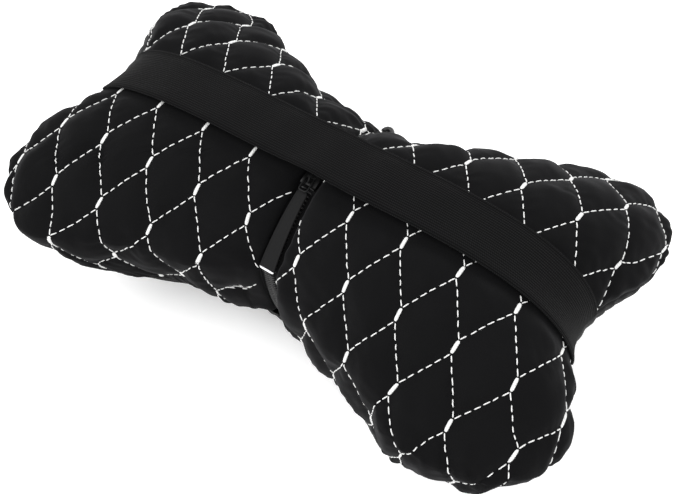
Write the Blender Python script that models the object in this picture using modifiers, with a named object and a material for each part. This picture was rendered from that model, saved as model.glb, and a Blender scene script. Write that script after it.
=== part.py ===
# Bone-shaped neck pillow for a car seat.
# A stuffed cushion in a cover with two halves of diamond quilting on its back, a plain
# knit front, a zip across its waist and a wide elastic band sewn from end to end.
# Metres. +X runs along the pillow, +Y across it and +Z out of the quilted back.
# The pillow lies on its knit front. The origin is on the floor below its middle.

import bpy
import bmesh
import numpy as np
from mathutils import Matrix, Vector
from mathutils.geometry import delaunay_2d_cdt

# Plan of the stuffed pillow: four round lobes joined by hollow arcs that touch them
LOBE_X = 0.1125
LOBE_Y = 0.0525
LOBE_RADIUS = 0.0386
WAIST_HALF = 0.0564
NOTCH_HALF = 0.1394

# Where the stuffing swells the outline or draws it in: direction in plan in degrees, metres
OUTLINE_EASE = (
    (0, -0.0009), (15, 0.0011), (30, 0.0030), (45, 0.0084), (60, -0.0023), (75, -0.0033),
    (90, 0.0006), (105, -0.0007), (120, -0.0011), (135, 0.0027), (150, 0.0020), (165, 0.0020),
    (180, 0.0013), (195, -0.0017), (210, -0.0016), (225, 0.0022), (240, -0.0011), (255, -0.0035),
    (270, -0.0057), (285, -0.0012), (300, -0.0010), (315, -0.0068), (330, -0.0007), (345, 0.0009),
)

# Height of the back over the widest line, and how the stuffing changes it
CROWN = 0.0370
END_RISE = 0.0168
SIDE_FALL = 0.0159
RIGHT_FULLER = 0.0026
FAR_FULLER = 0.0031
SHOULDER = 0.0100
SHOULDER_EASE = 0.0080
CROWN_FLATNESS = 2.48
CROWN_BULGE = 1.745

# Depth of the front below the widest line, and how much of it the floor presses flat
BELLY = 0.0675
BELLY_PRESSED = 0.0025
BELLY_BULGE = 1.43

# How square the front's section is in each direction in degrees
BELLY_FLATNESS = (
    (0, 2.4), (45, 4.3), (90, 4.3), (135, 4.0), (180, 3.6), (225, 3.2), (270, 5.7), (315, 6.3),
)

# Course of the seam: direction in plan in degrees, and its place on the section,
# where 0 is the crown, 1 the widest line and 2 the middle of the front
SEAM_COURSE = (
    (0, 0.93), (25, 1.00), (60, 1.02), (90, 0.98), (120, 0.97), (155, 0.86), (180, 0.68),
    (205, 0.84), (235, 1.17), (270, 1.13), (300, 1.25), (335, 1.14),
)
SEAM_GAP = 0.0006
SEAM_ALLOWANCE = 0.0010

# Quilting: stretched honeycombs of wadding between stitched grooves, with a pattern of its
# own on each half. A pattern starts at a point of the cloth, along and across the pillow.
DIAMOND_WIDTH = 0.0280
DIAMOND_LENGTH = 0.0572
BAR_LENGTH = 0.0062
PUFF_HEIGHT = 0.0038
PUFF_SOFTNESS = 0.0050
PATTERN_LEFT = (-0.1128, -0.0140)
PATTERN_RIGHT = (0.0283, -0.0203)
EDGE_TAPER = 0.009
PANEL_THICKNESS = 0.0022
FRONT_THICKNESS = 0.0012

# White stitching in the grooves: a bar where two lines meet, and lines from bar to bar
BAR_HALF_WIDTH = 0.0010
BAR_HEIGHT = 0.0011
LINE_HALF_WIDTH = 0.0005
LINE_HEIGHT = 0.0008
LINE_CELLS = 3
STITCH_LIFT = 0.00045
COVERED_HEIGHT = 0.00045
STITCH_FROM_EDGE = 0.0018
BESIDE_SEAM = 0.0026

# Elastic band
BAND_WIDTH = 0.0300
BAND_THICKNESS = 0.0013
BAND_SEAT = 0.0016
BAND_LIFT = 0.0045
BAND_NARROWING = 0.0010

# Zip: the valley that it pulls into the back, its tapes, coils and slider
VALLEY_DEPTH = 0.0060
VALLEY_HALF = 0.0090
VALLEY_AT_SEAM = 0.45
ZIP_OPENING_HALF = 0.0046
FOLD_HALF = 0.0080
TAPE_REACH = 0.0140
TAPE_HALF_WIDTH = 0.0110
TAPE_THICKNESS = 0.0006
COIL_HALF_WIDTH = 0.0033
COIL_HEIGHT = 0.0016
COIL_SPLIT = 0.00015
SLIDER_Y = -0.0095
SLIDER_LENGTH = 0.0095
SLIDER_WIDTH = 0.0084
SLIDER_PLATE = 0.0009
SLIDER_POST = 0.0006
SLIDER_UNDER_GAP = 0.0006
BRIDGE_WIRE = 0.00055
BRIDGE_HEIGHT = 0.0027
LINK_WIRE = 0.0005
LINK_HALF_WIDTH = 0.0022
LINK_LENGTH = 0.0062
TAB_LENGTH = 0.0425
TAB_WIDTH = 0.0084
TAB_TOP_WIDTH = 0.0056
TAB_THICKNESS = 0.0016
TAIL_RADIUS = 0.0038
TAIL_FLATNESS = 0.7

# Clearance between pieces that touch
GAP = 0.0003
SOFT_GAP = 0.0005

# Fineness of the meshes
ROWS = 16
COLUMNS = 8
FINE = 3
BAND_CELLS = 44
CLOTH_STEP = 0.0015

FLOOR = BELLY - BELLY_PRESSED
HALF_TURN = np.pi / 2


def smooth(value):
    """0 below 0, 1 above 1 and an even S between them."""
    t = np.clip(value, 0.0, 1.0)
    return t * t * (3 - 2 * t)


def eased(course, phi):
    """Value of a course in the direction phi, eased between its given directions."""
    course = np.array(course)
    course = np.vstack([course, course[0] + [360, 0]])
    degrees = np.degrees(phi) % 360
    left = np.clip(np.searchsorted(course[:, 0], degrees, side="right") - 1, 0, len(course) - 2)
    part = (degrees - course[left, 0]) / (course[left + 1, 0] - course[left, 0])
    return course[left, 1] + (course[left + 1, 1] - course[left, 1]) * smooth(part)


def outline_radius(phi):
    """Distance of the plan outline from the middle, in the direction phi."""
    east, north = np.abs(np.cos(phi)), np.abs(np.sin(phi))
    waist_in, notch_in = WAIST_HALF - LOBE_Y, NOTCH_HALF - LOBE_X
    waist_r = (LOBE_X**2 + waist_in**2 - LOBE_RADIUS**2) / (2 * (LOBE_RADIUS - waist_in))
    notch_r = (LOBE_Y**2 + notch_in**2 - LOBE_RADIUS**2) / (2 * (LOBE_RADIUS - notch_in))
    lobe = np.array([LOBE_X, LOBE_Y])
    waist = np.array([0.0, WAIST_HALF + waist_r])
    notch = np.array([NOTCH_HALF + notch_r, 0.0])
    waist_touch = lobe + (waist - lobe) / np.linalg.norm(waist - lobe) * LOBE_RADIUS
    hollow = np.sign(notch_r)
    notch_touch = lobe + hollow * (notch - lobe) / np.linalg.norm(notch - lobe) * LOBE_RADIUS
    angle = np.arctan2(north, east)

    def along(centre, radius, side):
        dot = east * centre[0] + north * centre[1]
        root = np.sqrt(np.maximum(dot**2 - centre @ centre + radius**2, 0))
        return dot + side * root

    in_notch = angle < np.arctan2(notch_touch[1], notch_touch[0])
    in_waist = angle > np.arctan2(waist_touch[1], waist_touch[0])
    radius = np.where(in_notch, along(notch, notch_r, -hollow), along(lobe, LOBE_RADIUS, 1))
    return np.where(in_waist, along(waist, waist_r, -1), radius) + eased(OUTLINE_EASE, phi)


def crown_height(x, y, share):
    """Height of the back over the widest line; share is 0 in the middle, 1 at the outline."""
    full = CROWN + END_RISE * (x / LOBE_X)**2 - SIDE_FALL * (y / LOBE_Y)**2
    full = full + RIGHT_FULLER * x / LOBE_X + FAR_FULLER * y / LOBE_Y
    full = (full + SHOULDER + np.hypot(full - SHOULDER, SHOULDER_EASE)) / 2
    return full * np.maximum(1 - share**CROWN_FLATNESS, 0)**(1 / CROWN_BULGE)


def body(w, phi):
    """Point of the stuffed shape: w runs down its section and phi is its direction in plan."""
    share = np.abs(np.sin(np.minimum(w, 2 - w) * HALF_TURN))
    radius = share * outline_radius(phi)
    x, y = radius * np.cos(phi), radius * np.sin(phi)
    belly = -BELLY * np.maximum(1 - share**eased(BELLY_FLATNESS, phi), 0)**(1 / BELLY_BULGE)
    z = np.where(w <= 1, crown_height(x, y, share), np.maximum(belly, -FLOOR))
    return np.stack([x, y, z + FLOOR], axis=-1)


def body_normal(w, phi):
    """Outward normal of the stuffed shape, from small steps down the section and round it."""
    step = 1e-4
    down = body(w + step, phi) - body(w - step, phi)
    round_ = body(w, phi + step) - body(w, phi - step)
    normal = np.cross(down, round_)
    length = np.linalg.norm(normal, axis=-1, keepdims=True)
    upward = np.stack([0 * w, 0 * w, np.where(w < 1, 1.0, -1.0)], axis=-1)
    near_pole = (w < 0.01) | (w > 1.99)
    return np.where(near_pole[..., None], upward, normal / np.maximum(length, 1e-12))


def seam_place(phi):
    """Place of the seam on the section in the direction phi."""
    return eased(SEAM_COURSE, phi)


def outline_turns():
    """Directions in plan spaced evenly along the outline, first to the lobe, then to the waist."""
    phi = np.linspace(0, HALF_TURN, 721)
    x, y = outline_radius(phi) * np.cos(phi), outline_radius(phi) * np.sin(phi)
    run = np.append(0, np.cumsum(np.hypot(np.diff(x), np.diff(y))))
    tip = np.interp(np.arctan2(LOBE_Y, LOBE_X), phi, run)
    share = np.where(run < tip, run / tip, 1 + (run - tip) / (run[-1] - tip))
    return share * HALF_TURN / 2, phi


OUTLINE_TURNS = outline_turns()


def plan(u, v):
    """A square on the plan: its corners fall on the lobes. Gives the share and direction."""
    east = u * np.sqrt(1 - v * v / 2)
    north = v * np.sqrt(1 - u * u / 2)
    phi = np.interp(np.arctan2(np.abs(north), np.abs(east)), *OUTLINE_TURNS)
    phi = np.arctan2(np.copysign(np.sin(phi), north), np.copysign(np.cos(phi), east))
    return np.hypot(east, north), phi


def back_place(u, v):
    """Place on the section and direction of a point of the back."""
    share, phi = plan(u, v)
    return share * seam_place(phi), phi


def front_place(u, v):
    """Place on the section and direction of a point of the front."""
    share, phi = plan(u, v)
    return 2 - share * (2 - seam_place(phi)), phi


def column_at(x, v):
    """The u at which the back lies x from the zip's line, found by damped scaling."""
    u = np.full_like(v, 1 / LOBE_X) * x
    for _ in range(40):
        w, phi = back_place(u, v)
        u = u * np.sqrt(x / body(w, phi)[..., 0])
    return u


def half_square(side, fine):
    """Columns and rows of one half: first along the zip's edge, then even to the end."""
    v = np.linspace(-1, 1, ROWS * fine + 1)
    marks = [column_at(side * x, v) for x in (ZIP_OPENING_HALF, FOLD_HALF, TAPE_REACH)]
    last = marks[-1]
    stops = marks + [last + (side - last) * k / COLUMNS for k in range(1, COLUMNS + 1)]
    columns = []
    for a, b in zip(stops, stops[1:]):
        columns += [a + (b - a) * k / fine for k in range(fine)]
    u = np.array(columns + [stops[-1]])
    v = np.broadcast_to(v, u.shape)
    return u[::side], v


def parted(points, u, v, w, phi, way):
    """Moves the points on the seam by half its gap, up the section or down it."""
    step = 0.02
    down = body(w + step, phi) - body(w - step, phi)
    down = down / np.linalg.norm(down, axis=-1, keepdims=True)
    on_seam = plan(u, v)[0] > 1 - 1e-6
    return points + way * SEAM_GAP / 2 * down * on_seam[..., None]


def valley(x, w):
    """Depth of the valley that the zip pulls into the back, shallower at the seam."""
    keep = 1 - (1 - VALLEY_AT_SEAM) * smooth(w)
    return VALLEY_DEPTH * keep * np.exp(-(x / VALLEY_HALF)**2)


def cloth_tables():
    """Length of cloth along and across the pillow from its middle, on a grid over the plan."""
    gx = np.arange(-110, 111) * CLOTH_STEP
    gy = np.arange(-75, 76) * CLOTH_STEP
    x, y = np.meshgrid(gx, gy, indexing="ij")
    share = np.minimum(np.hypot(x, y) / outline_radius(np.arctan2(y, x)), 1)
    z = crown_height(x, y, share)
    ease_x = smooth((np.abs(gx) / LOBE_X - 0.45) / 0.4)
    ease_y = smooth(np.abs(gy) / LOBE_Y / 0.5)
    past_notch = np.clip((np.abs(gx) / NOTCH_HALF - 0.85) / 0.15, 0, 1)[:, None]
    extra_x = np.hypot(np.diff(z, axis=0), CLOTH_STEP) - CLOTH_STEP
    extra_x = extra_x * (ease_x[1:] + ease_x[:-1])[:, None] / 2
    extra_y = np.hypot(np.diff(z, axis=1), CLOTH_STEP) - CLOTH_STEP
    extra_y = extra_y * (1 - past_notch * (1 - (ease_y[1:] + ease_y[:-1])[None, :] / 2))
    s = np.vstack([np.zeros((1, len(gy))), np.cumsum(extra_x, axis=0)])
    t = np.hstack([np.zeros((len(gx), 1)), np.cumsum(extra_y, axis=1)])
    s = s - s[len(gx) // 2] + x
    t = t - t[:, len(gy) // 2][:, None] + y
    return gx, gy, s, t


CLOTH = cloth_tables()


def cloth(w, phi):
    """Place on the cloth of a point of the back: metres along and across the pillow."""
    gx, gy, table_s, table_t = CLOTH
    on_top = body(np.minimum(w, 1), phi)
    i = np.clip((on_top[..., 0] - gx[0]) / CLOTH_STEP, 0, len(gx) - 1.001)
    j = np.clip((on_top[..., 1] - gy[0]) / CLOTH_STEP, 0, len(gy) - 1.001)
    i0, j0 = i.astype(int), j.astype(int)
    fi, fj = i - i0, j - j0

    def read(table):
        low = table[i0, j0] * (1 - fi) + table[i0 + 1, j0] * fi
        high = table[i0, j0 + 1] * (1 - fi) + table[i0 + 1, j0 + 1] * fi
        return low * (1 - fj) + high * fj

    below = np.maximum(w - 1, 0)
    steps = 8
    walk = [body(1 + below * k / steps, phi) for k in range(steps + 1)]
    length = sum(np.linalg.norm(b - a, axis=-1) for a, b in zip(walk, walk[1:]))
    step = 1e-4
    radius, ahead = outline_radius(phi), outline_radius(phi + step)
    tx = ahead * np.cos(phi + step) - radius * np.cos(phi)
    ty = ahead * np.sin(phi + step) - radius * np.sin(phi)
    size = np.hypot(tx, ty)
    return read(table_s) + length * ty / size, read(table_t) - length * tx / size


def dome(s, t, side):
    """Rise of a six-sided pocket at a place on the cloth: 0 on its stitched sides."""
    start = PATTERN_RIGHT if side > 0 else PATTERN_LEFT
    half_width, half_bar = DIAMOND_WIDTH / 2, BAR_LENGTH / 2
    slant = np.array([half_width, DIAMOND_LENGTH / 2 - BAR_LENGTH])
    slant = slant / np.linalg.norm(slant)
    best = np.zeros_like(s)
    for shift_s, shift_t in ((0.5, 0.0), (0.0, 0.5)):
        column = (s - start[0]) / DIAMOND_WIDTH - shift_s
        row = (t - start[1]) / DIAMOND_LENGTH - shift_t
        x = half_width - np.abs(column - np.round(column)) * DIAMOND_WIDTH
        y = np.abs(row - np.round(row)) * DIAMOND_LENGTH - half_bar
        slanted = np.maximum(x * slant[1] - y * slant[0], 0)
        rise = (1 - np.exp(-x / PUFF_SOFTNESS)) * (1 - np.exp(-slanted / PUFF_SOFTNESS))
        best = np.maximum(best, rise)
    return best


def covered(y):
    """0 under the elastic band and 1 well beside it."""
    return smooth((np.abs(y) - BAND_WIDTH / 2) / EDGE_TAPER)


def puff(w, phi, x, y, side):
    """Height of the wadding over the stitched grooves."""
    s, t = cloth(w, phi)
    under_band = 0.15 + 0.85 * covered(y)
    by_zip = smooth((np.abs(x) - ZIP_OPENING_HALF) / EDGE_TAPER)
    by_seam = smooth((seam_place(phi) - w) * WAIST_HALF * 2 / EDGE_TAPER)
    return PUFF_HEIGHT * dome(s, t, side) * under_band * by_zip * by_seam


def sunk(w, phi, depth):
    """Points at a depth below the stuffed shape, along its normals."""
    return body(w, phi) - body_normal(w, phi) * np.asarray(depth)[..., None]


def grid_faces(nu, nv, first=0, flip=False, side=0):
    """Triangles of a grid of (nu + 1) by (nv + 1) points, cut towards the four lobes."""
    i, j = np.meshgrid(np.arange(nu), np.arange(nv), indexing="ij")
    a = first + i * (nv + 1) + j
    b, c, d = a + nv + 1, a + nv + 2, a + 1
    east = side if side else np.where(i < nu / 2, -1, 1)
    rising = east * np.where(j < nv / 2, -1, 1) > 0
    one = np.stack([a, b, np.where(rising, c, d)], axis=-1).reshape(-1, 3)
    two = np.stack([np.where(rising, a, b), c, d], axis=-1).reshape(-1, 3)
    faces = np.vstack([one, two])
    return (faces[:, ::-1] if flip else faces).tolist()


def border(nu, nv, first=0):
    """Indices round the edge of a grid, in order."""
    def at(i, j):
        return first + i * (nv + 1) + j
    ring = [at(i, 0) for i in range(nu)] + [at(nu, j) for j in range(nv)]
    return ring + [at(i, nv) for i in range(nu, 0, -1)] + [at(0, j) for j in range(nv, 0, -1)]


def material(name, colour, roughness, metallic=0.0):
    """Plain Principled material."""
    made = bpy.data.materials.new(name)
    made.use_nodes = True
    shader = made.node_tree.nodes["Principled BSDF"]
    shader.inputs["Base Color"].default_value = (*colour, 1)
    shader.inputs["Roughness"].default_value = roughness
    shader.inputs["Metallic"].default_value = metallic
    made.diffuse_color = (*colour, 1)
    return made


def new_object(name, points, faces, finish, outward=True):
    """Object from points and faces; outward turns the faces of a closed body outwards."""
    mesh = bpy.data.meshes.new(name)
    mesh.from_pydata(np.asarray(points).reshape(-1, 3).tolist(), [], faces)
    if outward:
        work = bmesh.new()
        work.from_mesh(mesh)
        loose = [vert for vert in work.verts if not vert.link_faces]
        bmesh.ops.delete(work, geom=loose, context="VERTS")
        bmesh.ops.remove_doubles(work, verts=work.verts, dist=1e-6)
        bmesh.ops.recalc_face_normals(work, faces=work.faces)
        work.to_mesh(mesh)
        work.free()
    mesh.materials.append(finish)
    mesh.shade_smooth()
    thing = bpy.data.objects.new(name, mesh)
    PILLOW.objects.link(thing)
    return thing


def shell(name, outer, inner, finish):
    """Loft between an outer and an inner face that look down, closed round the edge."""
    nu, nv = outer.shape[0] - 1, outer.shape[1] - 1
    count = outer.shape[0] * outer.shape[1]
    faces = grid_faces(nu, nv, flip=True) + grid_faces(nu, nv, first=count)
    wide, tight = border(nu, nv), border(nu, nv, first=count)
    for k, near in enumerate(tight):
        m = (k + 1) % len(tight)
        faces += [(near, tight[m], wide[k]), (tight[m], wide[m], wide[k])]
    points = np.vstack([outer.reshape(-1, 3), inner.reshape(-1, 3)])
    return new_object(name, points, faces, finish)


def room(points, ring):
    """Distance of points from a closed line, negative outside it, and the place along it."""
    ahead = np.roll(ring, -1, axis=0)
    run = ahead - ring
    gap = points[:, None] - ring
    part = np.clip((gap * run).sum(axis=-1) / (run**2).sum(axis=-1), 0, 1)
    distance = np.linalg.norm(gap - part[..., None] * run, axis=-1)
    nearest = distance.argmin(axis=1)
    row = np.arange(len(points))
    spans = (ring[:, 1] > points[:, None, 1]) != (ahead[:, 1] > points[:, None, 1])
    rise = np.where(run[:, 1] == 0, 1, run[:, 1])
    left = gap[..., 0] < run[:, 0] * gap[..., 1] / rise
    inside = (spans & left).sum(axis=1) % 2 == 1
    return np.where(inside, 1, -1) * distance[row, nearest], nearest + part[row, nearest]


def back_at(spots, side):
    """Places on the plan square of spots on one half's cloth, by steps from the nearest known."""
    u, v = (table.ravel() for table in half_square(side, FINE))
    known = np.stack(cloth(*back_place(u, v)), axis=-1)
    nearest = ((spots[:, None] - known)**2).sum(axis=-1).argmin(axis=1)
    u, v = u[nearest], v[nearest]
    step = 1e-4
    for _ in range(12):
        here = np.stack(cloth(*back_place(u, v)), axis=-1)
        by_u = (np.stack(cloth(*back_place(u + step, v)), axis=-1) - here) / step
        by_v = (np.stack(cloth(*back_place(u, v + step)), axis=-1) - here) / step
        miss = spots - here
        area = by_u[:, 0] * by_v[:, 1] - by_u[:, 1] * by_v[:, 0]
        du = (miss[:, 0] * by_v[:, 1] - miss[:, 1] * by_v[:, 0]) / area
        dv = (miss[:, 1] * by_u[:, 0] - miss[:, 0] * by_u[:, 1]) / area
        u = np.clip(u + np.clip(du, -0.03, 0.03), -1, 1)
        v = np.clip(v + np.clip(dv, -0.03, 0.03), -1, 1)
    return u, v


def cloth_ways(u, v):
    """Directions in space of the cloth's two ways at places on the plan square."""
    u, v = 0.985 * u, 0.985 * v
    step = 1e-3
    moves = []
    for du, dv in ((step, 0), (0, step)):
        here, ahead = back_place(u - du, v - dv), back_place(u + du, v + dv)
        moves.append((body(*ahead) - body(*here), np.stack(cloth(*ahead), -1) - np.stack(cloth(*here), -1)))
    (space_u, cloth_u), (space_v, cloth_v) = moves
    along_s = space_u * cloth_v[:, 1:] - space_v * cloth_u[:, 1:]
    along_t = space_v * cloth_u[:, :1] - space_u * cloth_v[:, :1]
    area = (cloth_u[:, 0] * cloth_v[:, 1] - cloth_u[:, 1] * cloth_v[:, 0])[:, None]
    ways = [way * np.sign(area) for way in (along_s, along_t)]
    return [way / np.linalg.norm(way, axis=1, keepdims=True) for way in ways]


def puffed(u, v, side):
    """Points of the quilted face of one half at places on the plan square."""
    w, phi = back_place(u, v)
    flat = body(w, phi)
    return sunk(w, phi, valley(flat[..., 0], w) - puff(w, phi, flat[..., 0], flat[..., 1], side))


def stitch_plan(side, ring):
    """Bars clear of the edge, by column and row, and lines that leave them: start and end
    bar, which way and how far up or down, and the line's spots on the cloth."""
    start = np.array(PATTERN_RIGHT if side > 0 else PATTERN_LEFT)
    half = np.array([DIAMOND_WIDTH, DIAMOND_LENGTH]) / 2
    up = np.array([0, BAR_LENGTH / 2])
    bars = {}
    for m in range(-16, 17):
        for n in range(-8, 9):
            centre = start + half * (m, n)
            clear = room(np.array([centre - up, centre + up]), ring)[0]
            if (m + n) % 2 == 0 and clear.min() > STITCH_FROM_EDGE:
                bars[m, n] = centre
    lines = []
    stops = np.linspace(0, 1, 61)[:, None]
    for (m, n), centre in bars.items():
        for way in (-1, 1):
            for rise in (-1, 1):
                first = centre + rise * up
                last = centre + half * (way, rise) - rise * up
                clear = room(first + (last - first) * stops, ring)[0] > STITCH_FROM_EDGE
                other = (m + way, n + rise)
                joined = bool(clear.all()) and other in bars
                if joined and rise > 0:
                    continue
                reach = 1.0 if clear.all() else stops[np.argmin(clear), 0]
                shares = [k / LINE_CELLS for k in range(1, LINE_CELLS) if k / LINE_CELLS < reach - 0.1]
                shares = shares if joined else shares + [reach]
                if reach > 0.1:
                    spots = [first + (last - first) * share for share in shares]
                    lines.append(((m, n), other if joined else None, way, rise, spots, last))
    return bars, lines


def quilted_face(side, ring, ring_points, bars, lines):
    """Quilted face cut along the stitch lines: points, faces, and the edge's points in order."""
    up = np.array([0, BAR_LENGTH / 2])
    half = np.array([DIAMOND_WIDTH, DIAMOND_LENGTH]) / 2
    spots, edges = list(ring), []

    def spot(place):
        spots.append(place)
        return len(spots) - 1
    ends = {}
    for key, centre in bars.items():
        ends[key, -1], ends[key, 1] = spot(centre - up), spot(centre + up)
        edges.append((ends[key, -1], ends[key, 1]))
    for key, other, _, rise, between, last in lines:
        chain = [ends[key, rise]] + [spot(place) for place in between]
        if other:
            chain.append(ends[other, -rise])
        else:
            beyond = between[-1] + (last - between[-1]) * np.linspace(0, 1, 41)[:, None]
            out = room(beyond, ring)[0] < -0.0004
            if out.any():
                chain.append(spot(beyond[np.argmax(out)]))
        edges += list(zip(chain, chain[1:]))
    start = np.array(PATTERN_RIGHT if side > 0 else PATTERN_LEFT)
    tip, wide = half[1] - up[1], half[0]
    corners = np.array([(wide, up[1]), (0, tip), (-wide, up[1]), (-wide, -up[1]), (0, -tip), (wide, -up[1])])
    middles = (corners + np.roll(corners, -1, axis=0))[[0, 1, 3, 4]] / 2
    pocket = np.vstack([corners * 0.78, middles * 0.78, corners * 0.42, [(0, 0)]])
    inner = np.array([start + half * (m, n) for m in range(-16, 17) for n in range(-8, 9) if (m + n) % 2])
    inner = (inner[:, None] + pocket).reshape(-1, 2)
    across = (np.roll(ring, -1, axis=0) - np.roll(ring, 1, axis=0))[:, ::-1] * (1, -1)
    across = across / np.linalg.norm(across, axis=1, keepdims=True) * BESIDE_SEAM
    beside = np.vstack([ring + across, ring - across])
    from_spots = np.linalg.norm(beside[:, None] - np.array(spots), axis=-1).min(axis=1)
    beside = beside[(room(beside, ring)[0] > 0.7 * BESIDE_SEAM) & (from_spots > 0.7 * BESIDE_SEAM)]
    spots += list(beside) + list(inner[room(inner, ring)[0] > 1.6 * BESIDE_SEAM])
    spots = [Vector(place) for place in spots]
    made = delaunay_2d_cdt(spots, edges, [list(range(len(ring)))], 1, 1e-6)
    flat = np.array([tuple(place) for place in made[0]])
    clear, place = room(flat, ring)
    on_edge = np.abs(clear) < 2e-5
    points = np.zeros((len(flat), 3))
    points[~on_edge] = puffed(*back_at(flat[~on_edge], side), side)
    count = len(ring_points)
    place = np.where(place > count - 1e-4, 0, place)
    place = np.where(np.abs(place - np.round(place)) < 1e-3, np.round(place), place)
    first = place.astype(int) % count
    part = (place % 1)[:, None]
    along = ring_points[first] * (1 - part) + ring_points[(first + 1) % count] * part
    points[on_edge] = along[on_edge]
    edge = np.flatnonzero(on_edge)
    edge = edge[np.argsort(place[edge])]
    return points, [tuple(face) for face in made[2]], edge, place[edge]


def quilted_panel(name, side, finish, thread):
    """Half of the back, puffed outside and smooth inside, and the stitching on it."""
    u, v = half_square(side, 1)
    w, phi = back_place(u, v)
    inner = parted(sunk(w, phi, valley(body(w, phi)[..., 0], w) + PANEL_THICKNESS), u, v, w, phi, -1)
    outer = parted(puffed(u, v, side), u, v, w, phi, -1).reshape(-1, 3)
    nu, nv = u.shape[0] - 1, u.shape[1] - 1
    round_ = border(nu, nv)
    ring = np.stack(cloth(w, phi), axis=-1).reshape(-1, 2)[round_]
    bars, lines = stitch_plan(side, ring)
    points, faces, edge, place = quilted_face(side, ring, outer[round_], bars, lines)
    count = len(points)
    faces += grid_faces(nu, nv, first=count, flip=True, side=side)
    tight = border(nu, nv, first=count)
    for k, near in enumerate(tight):
        far = tight[(k + 1) % len(tight)]
        held = edge[(place >= k) & (place < k + 1)].tolist()
        held.append(edge[place == (k + 1) % len(tight)][0])
        faces.append((near, far, held[0]))
        faces += [(far, b, a) for a, b in zip(held, held[1:])]
    new_object(name, np.vstack([points, inner.reshape(-1, 3)]), faces, finish)
    stitching(name.replace("back_panel", "quilt_stitching"), side, bars, lines, thread)


def stitching(name, side, bars, lines, finish):
    """White stitching of one half as one net of bars and lines, keel down in the grooves."""
    linked, held = {}, set()
    for key, other, *_ in lines:
        if other:
            linked.setdefault(key, []).append(other)
            linked.setdefault(other, []).append(key)
    for key in bars:
        reached, waiting = {key}, [key]
        while waiting:
            for other in linked.get(waiting.pop(), []):
                if other not in reached:
                    reached.add(other)
                    waiting.append(other)
        held = reached if len(reached) > len(held) else held
    spots, shifts, faces = [], [], []

    def section(centre, west, tall):
        """Keel and upper corners at a spot: corners are given as steps to the west."""
        first = len(spots)
        spots.extend([centre] * (1 + len(west)))
        shifts.extend([(0, 0, 0)] + [(*step, tall) for step in west])
        return list(range(first, first + 1 + len(west)))
    up = np.array([0, BAR_LENGTH / 2])
    beside = np.array([-BAR_HALF_WIDTH, 0])
    ends, open_ends = {}, set()
    for key in held:
        for rise in (-1, 1):
            ends[key, rise] = section(bars[key] + rise * up, [beside, 0 * beside, -beside], BAR_HEIGHT)
            open_ends |= {(key, rise, -1), (key, rise, 1)}
        low, high = ends[key, -1], ends[key, 1]
        faces += [(low[1], low[2], high[2], high[1]), (low[2], low[3], high[3], high[2]),
                  (low[0], low[1], high[1], high[0]), (low[3], low[0], high[0], high[3])]
    for key, other, way, rise, between, last in lines:
        if key not in held:
            continue
        run = last - bars[key] - rise * up
        west = np.array([-abs(run[1]), rise * run[0]]) / np.linalg.norm(run) * LINE_HALF_WIDTH
        keel, *top = ends[key, rise]
        chain = [(keel, top[0], top[1]) if way < 0 else (keel, top[1], top[2])]
        chain += [tuple(section(spot, [west, -west], LINE_HEIGHT)) for spot in between]
        open_ends.discard((key, rise, way))
        if other:
            keel, *top = ends[other, -rise]
            chain.append((keel, top[1], top[2]) if way < 0 else (keel, top[0], top[1]))
            open_ends.discard((other, -rise, -way))
        else:
            faces.append(chain[-1])
        for a, b in zip(chain, chain[1:]):
            faces += [(a[1], a[2], b[2], b[1]), (a[0], a[1], b[1], b[0]), (a[2], a[0], b[0], b[2])]
    for key, rise, way in open_ends:
        keel, *top = ends[key, rise]
        faces.append((keel, top[0], top[1]) if way < 0 else (keel, top[1], top[2]))
    spots, shifts = np.array(spots), np.array(shifts)
    u, v = back_at(spots, side)
    w, phi = back_place(u, v)
    points = puffed(u, v, side)
    along = cloth_ways(u, v)
    tall = COVERED_HEIGHT + (shifts[:, 2] - COVERED_HEIGHT) * covered(body(w, phi)[:, 1])
    rise = STITCH_LIFT + np.where(shifts[:, 2] > 0, tall, 0)
    points = points + along[0] * shifts[:, 0:1] + along[1] * shifts[:, 1:2]
    points = points + body_normal(w, phi) * rise[:, None]
    net = new_object(name, points, faces, finish, outward=False)
    work = bmesh.new()
    work.from_mesh(net.data)
    bmesh.ops.triangulate(work, faces=work.faces)
    bmesh.ops.recalc_face_normals(work, faces=work.faces)
    work.to_mesh(net.data)
    work.free()


def whole_square():
    """Columns and rows over both halves, joined across the zip's opening."""
    left_u, v = half_square(-1, 1)
    right_u, _ = half_square(1, 1)
    return np.vstack([left_u, right_u]), np.vstack([v, v])


def front_panel(finish):
    """Knit front, from the seam down and under, pressed flat where it rests."""
    u, v = whole_square()
    w, phi = front_place(u, v)
    faces = [parted(sunk(w, phi, np.full(w.shape, depth)), u, v, w, phi, 1)
             for depth in (0, FRONT_THICKNESS)]
    shell("front_panel", faces[0], faces[1], finish)


def tape_top(x, w):
    """Depth of the zip tape's upper face, which lies against the folds of the back."""
    flat_x = np.maximum(np.abs(x), ZIP_OPENING_HALF)
    return valley(flat_x, w) + PANEL_THICKNESS + SOFT_GAP


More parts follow.
